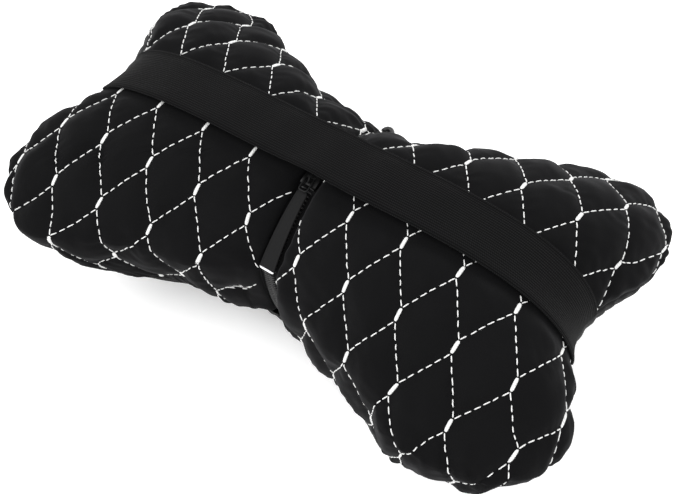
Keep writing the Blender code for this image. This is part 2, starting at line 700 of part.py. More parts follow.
def filling(finish):
    """Stuffed inner cushion: the cover's inner shape with a channel below the zip."""
    u, v = whole_square()
    w, phi = back_place(u, v)
    x = body(w, phi)[..., 0]
    depth = valley(x, w) + PANEL_THICKNESS + SOFT_GAP
    depth = depth + np.where(np.abs(x) < TAPE_REACH + GAP, TAPE_THICKNESS + SOFT_GAP, 0)
    under_slider = SLIDER_UNDER_GAP + SLIDER_PLATE + GAP
    depth = depth + np.where(np.abs(x) < ZIP_OPENING_HALF + GAP, under_slider, 0)
    depth = depth + SEAM_ALLOWANCE * smooth((plan(u, v)[0] - 0.9) / 0.1)
    top = sunk(w, phi, depth)
    low_w, low_phi = front_place(u, v)
    low = sunk(low_w, low_phi, np.full(low_w.shape, FRONT_THICKNESS + SOFT_GAP))
    low[0], low[-1], low[:, 0], low[:, -1] = top[0], top[-1], top[:, 0], top[:, -1]
    nu, nv = u.shape[0] - 1, u.shape[1] - 1
    faces = grid_faces(nu, nv) + grid_faces(nu, nv, first=u.size, flip=True)
    return new_object("filling", np.vstack([top.reshape(-1, 3), low.reshape(-1, 3)]), faces, finish)


def end_reach(y, side):
    """Distance from the middle to the outline's end on a side, at a distance y across."""
    turn = np.linspace(-HALF_TURN / 4, HALF_TURN / 4, 201)
    phi = turn if side > 0 else 2 * HALF_TURN - turn
    radius = outline_radius(phi)
    return np.interp(y, radius * np.sin(phi), radius * np.abs(np.cos(phi)))


def elastic_band(finish):
    """Elastic band from end seam to end seam, tight on the lobes and proud over the zip."""
    turn = np.linspace(-1, 1, BAND_CELLS + 1)[:, None]
    across = np.linspace(-1, 1, 5)[None, :]
    narrow = BAND_NARROWING * np.cos(turn * HALF_TURN)**2
    y = across * (BAND_WIDTH / 2 - narrow)
    ends = []
    for side in (-1, 1):
        phi = np.arctan2(y, side * NOTCH_HALF)
        ends.append(np.sin((seam_place(phi) - 2 * SEAM_GAP / WAIST_HALF) * HALF_TURN))
    reach = np.where(turn < 0, ends[0], ends[1])
    angle = turn * np.arcsin(reach)
    x = np.sin(angle) * np.where(turn < 0, end_reach(y, -1), end_reach(y, 1))
    y = y + 0 * x
    phi = np.arctan2(y, x)
    w = np.arcsin(np.minimum(np.hypot(x, y) / outline_radius(phi), 1)) / HALF_TURN
    points = sunk(w, phi, np.full(w.shape, -BAND_SEAT))
    proud = np.cos(np.clip(x / NOTCH_HALF, -1, 1) * HALF_TURN)**2
    level = points[:, 2:3, 2]
    flat = smooth(1 - np.abs(x) / (3 * VALLEY_HALF))
    points[..., 2] = points[..., 2] * (1 - flat) + level * flat + BAND_LIFT * proud
    band = new_object("elastic_band", points, grid_faces(BAND_CELLS, 4), finish, outward=False)
    wall = band.modifiers.new("wall", "SOLIDIFY")
    wall.thickness = BAND_THICKNESS
    wall.offset = 1
    return band


def zip_sweep(name, profile, rows, finish):
    """Closed strip along the zip: profile gives its corners as distance and depth."""
    v = np.linspace(-1, 1, rows + 1)
    rings = []
    for x, depth in profile(v):
        x = np.broadcast_to(x, v.shape)
        w, phi = back_place(column_at(x, v), v)
        rings.append(sunk(w, phi, depth(w)))
    points = np.stack(rings, axis=1)
    corners = points.shape[1]
    faces = []
    for k in range(rows):
        for m in range(corners):
            n = (m + 1) % corners
            a, b = k * corners + m, k * corners + n
            faces += [(a, b, b + corners), (a, b + corners, a + corners)]
    last = rows * corners
    faces += [tuple(range(corners)), tuple(range(last, last + corners))]
    return new_object(name, points, faces, finish)


def zip_tape(name, side, finish):
    """Woven tape of one side: flat in the opening, then up against the fold."""
    def profile(v):
        stops = (SLIDER_POST / 2 + GAP, ZIP_OPENING_HALF, FOLD_HALF, TAPE_HALF_WIDTH)

        def depth_at(x, under):
            lower = TAPE_THICKNESS if under else 0
            if x <= FOLD_HALF:
                return lambda w: tape_top(x, w) + lower
            part = (x - FOLD_HALF) / (TAPE_REACH - FOLD_HALF)
            return lambda w: (tape_top(FOLD_HALF, w) * (1 - part)
                              + tape_top(TAPE_REACH, w) * part + lower)
        top = [(side * x, depth_at(x, False)) for x in stops]
        return top + [(side * x, depth_at(x, True)) for x in stops[::-1]]
    return zip_sweep(name, profile, ROWS, finish)


def zip_coil(name, side, finish):
    """Coil of one side as its rounded ridge, parted where the slider's post passes."""
    def profile(v):
        w, phi = back_place(0 * v, v)
        y = body(w, phi)[..., 1]
        parted = np.exp(-((y - SLIDER_Y) / (SLIDER_LENGTH / 2))**4)
        inner = COIL_SPLIT + (SLIDER_POST / 2 + GAP - COIL_SPLIT) * parted
        rise = ((0.0, 0.0), (0.0, 0.75), (0.3, 1.0), (0.75, 0.9), (1.0, 0.45), (1.0, 0.0))

        def depth_at(share):
            return lambda w: tape_top(0, w) - GAP - COIL_HEIGHT * share
        return [(side * (inner + (COIL_HALF_WIDTH - inner) * out), depth_at(up)) for out, up in rise]
    return zip_sweep(name, profile, ROWS * FINE, finish)


def zip_frame(y, depth):
    """Frame on the zip's line at a distance y across: X, along the zip, and outwards."""
    v = np.linspace(-1, 1, 801)
    w, phi = back_place(0 * v, v)
    at = np.interp(y, body(w, phi)[..., 1], v)
    v = np.array([at - 1e-3, at, at + 1e-3])
    w, phi = back_place(0 * v, v)
    points = sunk(w, phi, depth(w))
    along = Vector(points[2] - points[0]).normalized()
    outward = Vector((1, 0, 0)).cross(along)
    frame = Matrix((Vector((1, 0, 0)), along, outward)).transposed().to_4x4()
    frame.translation = Vector(points[1])
    return frame


def plate_top(w):
    """Depth of the slider's upper face."""
    return tape_top(0, w) - 2 * GAP - COIL_HEIGHT - SLIDER_PLATE


def curve_mesh(points, radius, resolution):
    """Closed mesh of a round wire through points."""
    data = bpy.data.curves.new("wire", "CURVE")
    data.dimensions = "3D"
    data.bevel_depth = radius
    data.bevel_resolution = resolution
    data.use_fill_caps = True
    line = data.splines.new("POLY")
    line.points.add(len(points) - 1)
    for point, place in zip(line.points, points):
        point.co = (*place, 1)
    wire = bpy.data.objects.new("wire", data)
    PILLOW.objects.link(wire)
    bpy.context.view_layer.update()
    mesh = bpy.data.meshes.new_from_object(wire.evaluated_get(bpy.context.evaluated_depsgraph_get()))
    bpy.data.objects.remove(wire)
    work = bmesh.new()
    work.from_mesh(mesh)
    bmesh.ops.remove_doubles(work, verts=work.verts, dist=1e-6)
    bmesh.ops.recalc_face_normals(work, faces=work.faces)
    work.to_mesh(mesh)
    work.free()
    return mesh


def block(name, low, high):
    """Box between two corners, as a cutter or an addition for a union."""
    mesh = bpy.data.meshes.new(name)
    work = bmesh.new()
    bmesh.ops.create_cube(work, size=1)
    size = Vector(high) - Vector(low)
    middle = (Vector(high) + Vector(low)) / 2
    bmesh.ops.transform(work, matrix=Matrix.Diagonal((*size, 1)), verts=work.verts)
    bmesh.ops.translate(work, vec=middle, verts=work.verts)
    work.to_mesh(mesh)
    work.free()
    tool = bpy.data.objects.new(name, mesh)
    TOOLS.objects.link(tool)
    tool.hide_render = True
    tool.display_type = "WIRE"
    return tool


def zip_slider(frame, finish):
    """Slider: plates over and under the coils, a post between them, flanges and a bridge."""
    half_w, half_l = SLIDER_WIDTH / 2, SLIDER_LENGTH / 2
    over_tape = SLIDER_PLATE + COIL_HEIGHT + 2 * GAP
    under_top = -over_tape - TAPE_THICKNESS - SLIDER_UNDER_GAP
    mesh = bpy.data.meshes.new("zip_slider")
    mesh.materials.append(finish)
    work = bmesh.new()
    bmesh.ops.create_cube(work, size=1)
    size = Vector((SLIDER_WIDTH, SLIDER_LENGTH, SLIDER_PLATE))
    bmesh.ops.transform(work, matrix=Matrix.Diagonal((*size, 1)), verts=work.verts)
    bmesh.ops.translate(work, vec=(0, 0, -SLIDER_PLATE / 2), verts=work.verts)
    work.to_mesh(mesh)
    work.free()
    slider = bpy.data.objects.new("zip_slider", mesh)
    PILLOW.objects.link(slider)
    slider.matrix_world = frame
    lip = COIL_HALF_WIDTH + GAP
    sink = SLIDER_PLATE / 2
    adds = [
        block("slider_left_flange", (-half_w, -half_l * 0.8, GAP - over_tape), (-lip, half_l * 0.8, -sink)),
        block("slider_right_flange", (lip, -half_l * 0.8, GAP - over_tape), (half_w, half_l * 0.8, -sink)),
        block("slider_post", (-SLIDER_POST / 2, half_l * 0.2, under_top - sink),
              (SLIDER_POST / 2, half_l * 0.7, -sink)),
        block("slider_under_plate", (-half_w, -half_l, under_top - SLIDER_PLATE), (half_w, half_l, under_top)),
    ]
    foot, top = half_l * 0.7, BRIDGE_HEIGHT
    arch = [(0, -foot, -sink), (0, -foot, top * 0.55), (0, -foot * 0.65, top), (0, foot * 0.65, top),
            (0, foot, top * 0.55), (0, foot, -sink)]
    bridge = bpy.data.objects.new("slider_bridge", curve_mesh(arch, BRIDGE_WIRE, 1))
    bridge.hide_render = True
    bridge.display_type = "WIRE"
    TOOLS.objects.link(bridge)
    for part in adds + [bridge]:
        part.matrix_world = frame
        join = slider.modifiers.new(part.name, "BOOLEAN")
        join.operation = "UNION"
        join.object = part
    return slider


def zip_path(start, lengths, depth):
    """Points along the zip towards its near end, at given lengths from the start point."""
    way = np.linspace(-1, 1.8, 1401)
    w, phi = np.abs(way), -HALF_TURN * np.sign(way)
    points = sunk(w, phi, depth(w))
    run = np.append(0, np.cumsum(np.linalg.norm(np.diff(points, axis=0), axis=1)))
    begin = np.interp(-start, -points[:, 1], run)
    return np.stack([np.interp(begin + lengths, run, points[:, k]) for k in range(3)], axis=-1)


def pull(frame, hinge, metal, rubber):
    """Pull: a wire link through the slider's bridge and a rubber tab that lies on the zip."""
    pivot = bpy.data.objects.new("pull_pivot", None)
    pivot.location = hinge
    PILLOW.objects.link(pivot)
    turned = frame.to_3x3()
    corners = [(-LINK_HALF_WIDTH, -LINK_LENGTH, 0), (-LINK_HALF_WIDTH, 0, 0),
               (LINK_HALF_WIDTH, 0, 0), (LINK_HALF_WIDTH, -LINK_LENGTH, 0)]
    wire = curve_mesh([turned @ Vector(c) for c in corners], LINK_WIRE, 2)
    wire.materials.append(metal)
    link = bpy.data.objects.new("pull_link", wire)
    link.parent = pivot
    PILLOW.objects.link(link)

    def middle(w):
        return plate_top(w) + SLIDER_PLATE - TAB_THICKNESS / 2
    count = 14
    lengths = LINK_LENGTH + GAP + TAB_LENGTH * (1 - np.cos(np.linspace(0, 1, count + 1) * np.pi)) / 2
    spine = zip_path(SLIDER_Y, lengths, middle) - np.array(hinge)
    along = np.gradient(spine, axis=0)
    along = along / np.linalg.norm(along, axis=1, keepdims=True)
    up = np.cross(along, [1.0, 0, 0])
    up = up * np.sign(up[:, 2:3])
    from_end = np.minimum(lengths - lengths[0], lengths[-1] - lengths)
    corner = TAB_WIDTH * 0.3
    inset = corner - np.sqrt(np.maximum(corner**2 - np.maximum(corner - from_end, 0)**2, 0))
    way = (lengths - lengths[0]) / TAB_LENGTH
    width = TAB_TOP_WIDTH + (TAB_WIDTH - TAB_TOP_WIDTH) * way
    half = (width / 2 - inset)[:, None] * np.array([[1.0, 0, 0]])
    lift = up * TAB_THICKNESS / 2
    rings = np.stack([spine - half - lift, spine + half - lift, spine + half + lift,
                      spine - half + lift], axis=1)
    faces = []
    for k in range(count):
        for m in range(4):
            a, b = k * 4 + m, k * 4 + (m + 1) % 4
            faces.append((a, b, b + 4, a + 4))
    faces += [(0, 1, 2, 3), tuple(range(count * 4, count * 4 + 4))]
    tab = new_object("pull_tab", rings, faces, rubber)
    tab.parent = pivot


def zip_tail(finish):
    """Folded end of the zip that stands out of the far seam as a small rounded knob."""
    phi = np.array([HALF_TURN])
    w = seam_place(phi)
    out = body_normal(w, phi)[0]
    centre = body(w, phi)[0] + out * (TAIL_RADIUS * TAIL_FLATNESS - GAP / 2)
    mesh = bpy.data.meshes.new("zip_tail")
    work = bmesh.new()
    bmesh.ops.create_uvsphere(work, u_segments=12, v_segments=7, radius=TAIL_RADIUS)
    bmesh.ops.transform(work, matrix=Matrix.Diagonal((1, TAIL_FLATNESS, TAIL_FLATNESS, 1)), verts=work.verts)
    bmesh.ops.translate(work, vec=centre, verts=work.verts)
    work.to_mesh(mesh)
    work.free()
    mesh.materials.append(finish)
    mesh.shade_smooth()
    PILLOW.objects.link(bpy.data.objects.new("zip_tail", mesh))


def centre_on_origin():
    """Moves the whole pillow so that its box stands centred over the origin."""
    bpy.context.view_layer.update()
    solids = [thing for thing in PILLOW.objects if thing.type == "MESH"]
    corners = np.array([thing.matrix_world @ Vector(corner)
                        for thing in solids for corner in thing.bound_box])
    middle = (corners.min(axis=0) + corners.max(axis=0)) / 2
    for thing in list(PILLOW.objects) + list(TOOLS.objects):
        if thing.parent is None:
            thing.location -= Vector((middle[0], middle[1], 0))
    bpy.context.view_layer.update()


for old in list(bpy.data.objects):
    bpy.data.objects.remove(old)
PILLOW = bpy.data.collections.new("neck_pillow")
TOOLS = bpy.data.collections.new("neck_pillow_tools")
bpy.context.scene.collection.children.link(PILLOW)
bpy.context.scene.collection.children.link(TOOLS)

VELOUR = material("black_velour", (0.010, 0.010, 0.011), 0.85)
THREAD = material("white_thread", (0.72, 0.72, 0.71), 0.6)
KNIT = material("black_knit", (0.020, 0.020, 0.022), 0.9)
WADDING = material("white_wadding", (0.75, 0.75, 0.73), 0.95)
ELASTIC = material("black_elastic", (0.018, 0.018, 0.019), 0.75)
TAPE = material("black_tape", (0.014, 0.014, 0.015), 0.8)
NYLON = material("black_nylon", (0.015, 0.015, 0.016), 0.35)
ENAMEL = material("black_enamel", (0.02, 0.02, 0.02), 0.3, 1.0)
RUBBER = material("black_rubber", (0.022, 0.022, 0.024), 0.5)

quilted_panel("back_panel_left", -1, VELOUR, THREAD)
quilted_panel("back_panel_right", 1, VELOUR, THREAD)
front_panel(KNIT)
filling(WADDING)
elastic_band(ELASTIC)
zip_tape("zip_tape_left", -1, TAPE)
zip_tape("zip_tape_right", 1, TAPE)
zip_coil("zip_coil_left", -1, NYLON)
zip_coil("zip_coil_right", 1, NYLON)
SLIDER_FRAME = zip_frame(SLIDER_Y, plate_top)
zip_slider(SLIDER_FRAME, ENAMEL)
HINGE = SLIDER_FRAME @ Vector((0, 0, TAB_THICKNESS / 2 + GAP))
pull(SLIDER_FRAME, HINGE, ENAMEL, RUBBER)
zip_tail(NYLON)
centre_on_origin()
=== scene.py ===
import bpy
import bmesh
import numpy as np
from mathutils import Matrix, Vector


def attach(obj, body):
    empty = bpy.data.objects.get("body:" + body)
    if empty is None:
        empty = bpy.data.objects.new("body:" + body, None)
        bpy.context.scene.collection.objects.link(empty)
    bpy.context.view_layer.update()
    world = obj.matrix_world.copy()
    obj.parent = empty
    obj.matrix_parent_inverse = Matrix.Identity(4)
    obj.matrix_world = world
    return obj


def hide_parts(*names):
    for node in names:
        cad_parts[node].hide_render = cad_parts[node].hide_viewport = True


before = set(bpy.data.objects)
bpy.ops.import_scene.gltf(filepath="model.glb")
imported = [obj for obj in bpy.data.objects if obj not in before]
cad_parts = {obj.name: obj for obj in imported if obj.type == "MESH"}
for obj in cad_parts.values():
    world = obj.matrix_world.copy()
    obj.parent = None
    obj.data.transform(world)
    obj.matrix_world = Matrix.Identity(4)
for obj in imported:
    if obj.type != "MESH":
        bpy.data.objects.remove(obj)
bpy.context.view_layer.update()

# Stuffed shape. The real pillow is a sewn cover pulled tight by its filling, so every piece
# of cloth follows one form: four round lobes with hollow sides between them, pressed flat
# below where it lies. Lengths are in metres, from the shape's own middle.

SHAPE_MIDDLE = np.array([-0.0006239, -0.0018178, 0.0])
LOBE_X = 0.1125
LOBE_Y = 0.0525
LOBE_RADIUS = 0.0386
WAIST_HALF = 0.0564
NOTCH_HALF = 0.1394
CROWN = 0.0370
END_RISE = 0.0168
SIDE_FALL = 0.0159
RIGHT_FULLER = 0.0026
FAR_FULLER = 0.0031
SHOULDER = 0.0100
SHOULDER_EASE = 0.0080
CROWN_FLATNESS = 2.48
CROWN_BULGE = 1.745
BELLY = 0.0675
FLOOR = 0.0650
BELLY_BULGE = 1.43
SEAM_COURSE = (
    (0, 0.93), (25, 1.00), (60, 1.02), (90, 0.98), (120, 0.97), (155, 0.86), (180, 0.72),
    (200, 0.92), (212, 1.28), (225, 1.52), (240, 1.48), (255, 1.43), (270, 1.36), (300, 1.36),
    (335, 1.20),
)
OUTLINE_EASE = (
    (0, -0.0039), (15, -0.0029), (30, 0.0028), (45, 0.0034), (60, -0.0060), (75, -0.0035),
    (90, -0.0004), (105, -0.0022), (120, -0.0042), (135, -0.0034), (150, -0.0005), (165, -0.0004),
    (180, -0.0018), (195, -0.0023), (210, -0.0017), (225, 0.0011), (240, 0.0045), (255, -0.0056),
    (270, -0.0063), (285, -0.0025), (300, -0.0006), (307.5, 0.0020), (315, -0.0008), (322.5, -0.0111),
    (330, -0.0044), (345, 0.0025),
)
BELLY_FLATNESS = (
    (0, 1.55), (45, 4.0), (90, 4.3), (135, 4.0), (180, 3.5), (225, 2.04), (270, 5.3), (315, 5.45),
)
QUARTER_TURN = np.pi / 2


def smooth(value):
    """0 below 0, 1 above 1 and an even S, 3t^2 - 2t^3, between them."""
    t = np.clip(value, 0.0, 1.0)
    return t * t * (3 - 2 * t)


def eased(course, phi):
    """Value of a course in the direction phi, eased between its given directions, in degrees."""
    course = np.array(course, float)
    course = np.vstack([course, course[0] + [360, 0]])
    degrees = np.degrees(phi) % 360
    left = np.clip(np.searchsorted(course[:, 0], degrees, side="right") - 1, 0, len(course) - 2)
    part = (degrees - course[left, 0]) / (course[left + 1, 0] - course[left, 0])
    return course[left, 1] + (course[left + 1, 1] - course[left, 1]) * smooth(part)


def outline_radius(phi):
    """Distance of the plan outline from the middle in the direction phi: the ray's crossing
    with a lobe's circle, or with the hollow circle of the waist or the end that touches it,
    and how far the stuffing swells it or draws it in there."""
    east, north = np.abs(np.cos(phi)), np.abs(np.sin(phi))
    waist_in, notch_in = WAIST_HALF - LOBE_Y, NOTCH_HALF - LOBE_X
    waist_r = (LOBE_X**2 + waist_in**2 - LOBE_RADIUS**2) / (2 * (LOBE_RADIUS - waist_in))
    notch_r = (LOBE_Y**2 + notch_in**2 - LOBE_RADIUS**2) / (2 * (LOBE_RADIUS - notch_in))
    lobe = np.array([LOBE_X, LOBE_Y])
    waist = np.array([0.0, WAIST_HALF + waist_r])
    notch = np.array([NOTCH_HALF + notch_r, 0.0])
    waist_touch = lobe + (waist - lobe) / np.linalg.norm(waist - lobe) * LOBE_RADIUS
    notch_touch = lobe + (notch - lobe) / np.linalg.norm(notch - lobe) * LOBE_RADIUS
    angle = np.arctan2(north, east)

    def along(centre, radius, side):
        dot = east * centre[0] + north * centre[1]
        root = np.sqrt(np.maximum(dot**2 - centre @ centre + radius**2, 0))
        return dot + side * root

    in_notch = angle < np.arctan2(notch_touch[1], notch_touch[0])
    in_waist = angle > np.arctan2(waist_touch[1], waist_touch[0])
    radius = np.where(in_notch, along(notch, notch_r, -1), along(lobe, LOBE_RADIUS, 1))
    return np.where(in_waist, along(waist, waist_r, -1), radius) + eased(OUTLINE_EASE, phi)


def crown_height(x, y, share):
    """Height of the back over the widest line: a dome over share, the part of the way from
    the middle to the outline, higher towards the lobes' ends and lower along the sides."""
    full = CROWN + END_RISE * (x / LOBE_X)**2 - SIDE_FALL * (y / LOBE_Y)**2
    full = full + RIGHT_FULLER * x / LOBE_X + FAR_FULLER * y / LOBE_Y
    full = (full + SHOULDER + np.hypot(full - SHOULDER, SHOULDER_EASE)) / 2
    return full * np.maximum(1 - share**CROWN_FLATNESS, 0)**(1 / CROWN_BULGE)


def unit(vectors):
    """The same ways, each of length 1."""
    return vectors / np.linalg.norm(vectors, axis=-1, keepdims=True)


def body(w, phi):
    """Point of the stuffed form. w runs down its section, 0 at the crown, 1 at the widest
    line and 2 under the middle, and phi is the direction in plan."""
    share = np.abs(np.sin(np.minimum(w, 2 - w) * QUARTER_TURN))
    radius = share * outline_radius(phi)
    x, y = radius * np.cos(phi), radius * np.sin(phi)
    belly = -BELLY * np.maximum(1 - share**eased(BELLY_FLATNESS, phi), 0)**(1 / BELLY_BULGE)
    z = np.where(w <= 1, crown_height(x, y, share), np.maximum(belly, -FLOOR))
    return np.stack([x, y, z + FLOOR], axis=-1)


def body_normal(w, phi):
    """Outward normal of the form, the cross product of small steps down it and round it."""
    step = 1e-4
    down = body(w + step, phi) - body(w - step, phi)
    round_ = body(w, phi + step) - body(w, phi - step)
    normal = np.cross(down, round_)
    length = np.linalg.norm(normal, axis=-1, keepdims=True)
    upward = np.stack([0 * w, 0 * w, np.where(w < 1, 1.0, -1.0)], axis=-1)
    near_pole = (w < 0.01) | (w > 1.99)
    return np.where(near_pole[..., None], upward, normal / np.maximum(length, 1e-12))


def sunk(w, phi, depth):
    """Points at a depth below the form, along its normals."""
    return body(w, phi) - body_normal(w, phi) * np.asarray(depth)[..., None]


def seam_place(phi):
    """Place w of the seam in the direction phi."""
    return eased(SEAM_COURSE, phi)


def outline_turns():
    """Directions in plan at even steps of the outline's length, to the lobe and to the waist."""
    phi = np.linspace(0, QUARTER_TURN, 2881)
    x, y = outline_radius(phi) * np.cos(phi), outline_radius(phi) * np.sin(phi)
    run = np.append(0, np.cumsum(np.hypot(np.diff(x), np.diff(y))))
    tip = np.interp(np.arctan2(LOBE_Y, LOBE_X), phi, run)
    share = np.where(run < tip, run / tip, 1 + (run - tip) / (run[-1] - tip))
    return share * QUARTER_TURN / 2, phi, run


OUTLINE_TURNS = outline_turns()


def plan(u, v):
    """A square on the plan, its corners at the lobes: the share of the way out and phi."""
    east = u * np.sqrt(1 - v * v / 2)
    north = v * np.sqrt(1 - u * u / 2)
    phi = np.interp(np.arctan2(np.abs(north), np.abs(east)), OUTLINE_TURNS[0], OUTLINE_TURNS[1])
    phi = np.arctan2(np.copysign(np.sin(phi), north), np.copysign(np.cos(phi), east))
    return np.hypot(east, north), phi


def back_place(u, v):
    """w and phi of a point of the back, from the crown at the middle to the seam."""
    share, phi = plan(u, v)
    return share * seam_place(phi), phi


def front_place(u, v):
    """w and phi of a point of the front, from under the middle to the seam."""
    share, phi = plan(u, v)
    return 2 - share * (2 - seam_place(phi)), phi


def column_at(x, v):
    """The u at which the back lies x from the zip's line, by repeated damped scaling."""
    u = np.full_like(v, 1 / LOBE_X) * x
    for _ in range(40):
        w, phi = back_place(u, v)
        u = u * np.sqrt(x / body(w, phi)[..., 0])
    return u


def outline_length(phi):
    """Length along the plan outline from the middle of the right end, anticlockwise."""
    quarter = OUTLINE_TURNS[2][-1]
    turn = np.mod(phi, 4 * QUARTER_TURN)
    count = np.floor(turn / QUARTER_TURN)
    within = turn - count * QUARTER_TURN
    odd = np.mod(count, 2) == 1
    run = np.interp(np.where(odd, QUARTER_TURN - within, within), OUTLINE_TURNS[1], OUTLINE_TURNS[2])
    return count * quarter + np.where(odd, quarter - run, run)


def waves(a, b, length, seed):
    """Smooth noise: the mean of seven sine waves with drawn directions, lengths and phases."""
    rng = np.random.default_rng(seed)
    total = 0
    for _ in range(7):
        turn, stretch, phase = rng.uniform(0, 2 * np.pi), rng.uniform(0.7, 1.5), rng.uniform(0, 7)
        total = total + np.sin((a * np.cos(turn) + b * np.sin(turn)) * 2 * np.pi * stretch / length + phase)
    return total / 7**0.5


def read_grid(table, i, j):
    """Value of a table of numbers or points between its own places, at the places i, j."""
    i = np.clip(i, 0, table.shape[0] - 1.001)
    j = np.clip(j, 0, table.shape[1] - 1.001)
    a, b = i.astype(int), j.astype(int)
    i, j = i - a, j - b
    if table.ndim == 3:
        i, j = i[..., None], j[..., None]
    low = table[a, b] * (1 - i) + table[a + 1, b] * i
    high = table[a, b + 1] * (1 - i) + table[a + 1, b + 1] * i
    return low * (1 - j) + high * j


def grid_quads(nu, nv, first=0, flip=False, closed_v=False):
    """Quads of a grid of points in rows of nv + 1, or of nv where the rows close on themselves."""
    row = nv if closed_v else nv + 1
    i, j = np.meshgrid(np.arange(nu), np.arange(nv), indexing="ij")
    k = (j + 1) % row
    quads = np.stack([i * row + j, (i + 1) * row + j, (i + 1) * row + k, i * row + k], axis=-1)
    quads = quads.reshape(-1, 4) + first
    return (quads[:, ::-1] if flip else quads).tolist()


def grid_border(nu, nv, first=0):
    """Indices round the edge of a grid, in order."""
    row = nv + 1
    near = [first + i * row for i in range(nu)]
    right = [first + nu * row + j for j in range(nv)]
    far = [first + i * row + nv for i in range(nu, 0, -1)]
    left = [first + j for j in range(nv, 0, -1)]
    return near + right + far + left


def repeated(faces, count, size):
    """The faces of one item again for each of count items, whose points are size apart."""
    faces = np.array(faces)
    return (faces + np.arange(count)[:, None, None] * size).reshape(-1, faces.shape[1]).tolist()


def shell_faces(outer, inner, ratio, flip=False):
    """Faces of a shell: a fine outer grid, a coarser inner one with 1 / ratio of its steps,
    and a wall of polygons round the edge."""
    nu, nv = outer.shape[0] - 1, outer.shape[1] - 1
    mu, mv = inner.shape[0] - 1, inner.shape[1] - 1
    count = outer.shape[0] * outer.shape[1]
    faces = grid_quads(nu, nv, flip=flip) + grid_quads(mu, mv, first=count, flip=not flip)
    wide, tight = grid_border(nu, nv), grid_border(mu, mv, first=count)
    for k, near in enumerate(tight):
        far = tight[(k + 1) % len(tight)]
        edge = [wide[(k * ratio + m) % len(wide)] for m in range(ratio + 1)]
        wall = edge[::-1] + [near, far]
        faces.append(wall[::-1] if flip else wall)
    return faces


def make_piece(name, points, faces, uv=None):
    """Object with its place in its mesh, from points in the shape's own frame. uv gives a
    place on the cloth in metres."""
    mesh = bpy.data.meshes.new(name)
    flat = np.asarray(points, float).reshape(-1, 3) + SHAPE_MIDDLE
    mesh.from_pydata(flat.tolist(), [], faces)
    mesh.update()
    if uv is not None:
        layer = mesh.uv_layers.new(name="cloth")
        corner = np.empty(len(mesh.loops), np.int32)
        mesh.loops.foreach_get("vertex_index", corner)
        layer.data.foreach_set("uv", np.asarray(uv, np.float32).reshape(-1, 2)[corner].ravel())
    mesh.shade_smooth()
    piece = bpy.data.objects.new(name, mesh)
    bpy.context.scene.collection.objects.link(piece)
    return piece


def shell_piece(name, outer, inner, ratio, flip, outer_uv, inner_uv):
    """Closed shell of cloth between an outer and an inner grid, with its place on the cloth."""
    points = np.vstack([outer.reshape(-1, 3), inner.reshape(-1, 3)])
    uv = np.vstack([outer_uv.reshape(-1, 2), inner_uv.reshape(-1, 2)])
    return make_piece(name, points, shell_faces(outer, inner, ratio, flip=flip), uv)


def outward(piece):
    """Merges doubled points and turns the faces of a closed mesh outwards."""
    work = bmesh.new()
    work.from_mesh(piece.data)
    bmesh.ops.remove_doubles(work, verts=work.verts, dist=1e-7)
    bmesh.ops.recalc_face_normals(work, faces=work.faces)
    work.to_mesh(piece.data)
    work.free()
    return piece


# Quilted back. Two halves of black velour on wadding, sewn through in stretched honeycombs,
# each with a pattern of its own. Their edges are turned under beside the zip, and round the
# outline they are sewn to the knit front, where the seam draws them into small puckers.

DIAMOND_WIDTH = 0.0280
DIAMOND_LENGTH = 0.0572
BAR_LENGTH = 0.0062
PATTERN_LEFT = (-0.1142, -0.0140)
PATTERN_RIGHT = (0.0283, -0.0203)
PUFF_HEIGHT = 0.0030
PUFF_SOFTNESS = 0.0050
GROOVE_HALF = 0.0005
STITCHES_A_SIDE = 6
BAND_WIDTH = 0.0300
EDGE_TAPER = 0.009
PANEL_THICKNESS = 0.0022
VALLEY_DEPTH = 0.0060
VALLEY_HALF = 0.0090
VALLEY_AT_SEAM = 0.45
ZIP_OPENING_HALF = 0.0046
FOLD_CLOSING = 0.0037
FOLD_ROUND = 0.0030
FOLD_DROP = 0.0015
SEAM_DROP = 0.0014
SEAM_ROUND = 0.0040
CLOSING_FROM, CLOSING_RUN = 0.006, 0.014
DOME_POWER = 0.62
DOME_SHARE, BLOWN_SHARE = 0.5, 0.7
UNDER_BAND = 0.15
GATHER_HEIGHT, GATHER_REACH = 0.00012, 0.0016
CREASE_HEIGHT, CREASE_REACH = 0.00022, 0.003
LUMP_HEIGHT, LUMP_LENGTH = 0.00018, 0.016
PUCKER_HEIGHT, PUCKER_PITCH, PUCKER_REACH = 0.00032, 0.0072, 0.004
PLEAT_HEIGHT, PLEAT_PITCH = 0.00055, 0.0068
FOLD_RISE = 0.0014
BLOW_FRAMES = 20
BLOW_START = 0.0010
HELD_REACH = 0.0013
CLOTH_STEP = 0.0015
PANEL_COLUMNS = 200
PANEL_ROWS = 240
INNER_RATIO = 4


def valley(x, w):
    """Depth of the valley that the zip pulls into the back, a bell across it."""
    keep = 1 - (1 - VALLEY_AT_SEAM) * smooth(w)
    return VALLEY_DEPTH * keep * np.exp(-(x / VALLEY_HALF)**2)


def closed_share(y):
    """How far the folds close over the zip: 0 on its near part, 1 from under the band on."""
    return smooth((y - CLOSING_FROM) / CLOSING_RUN)


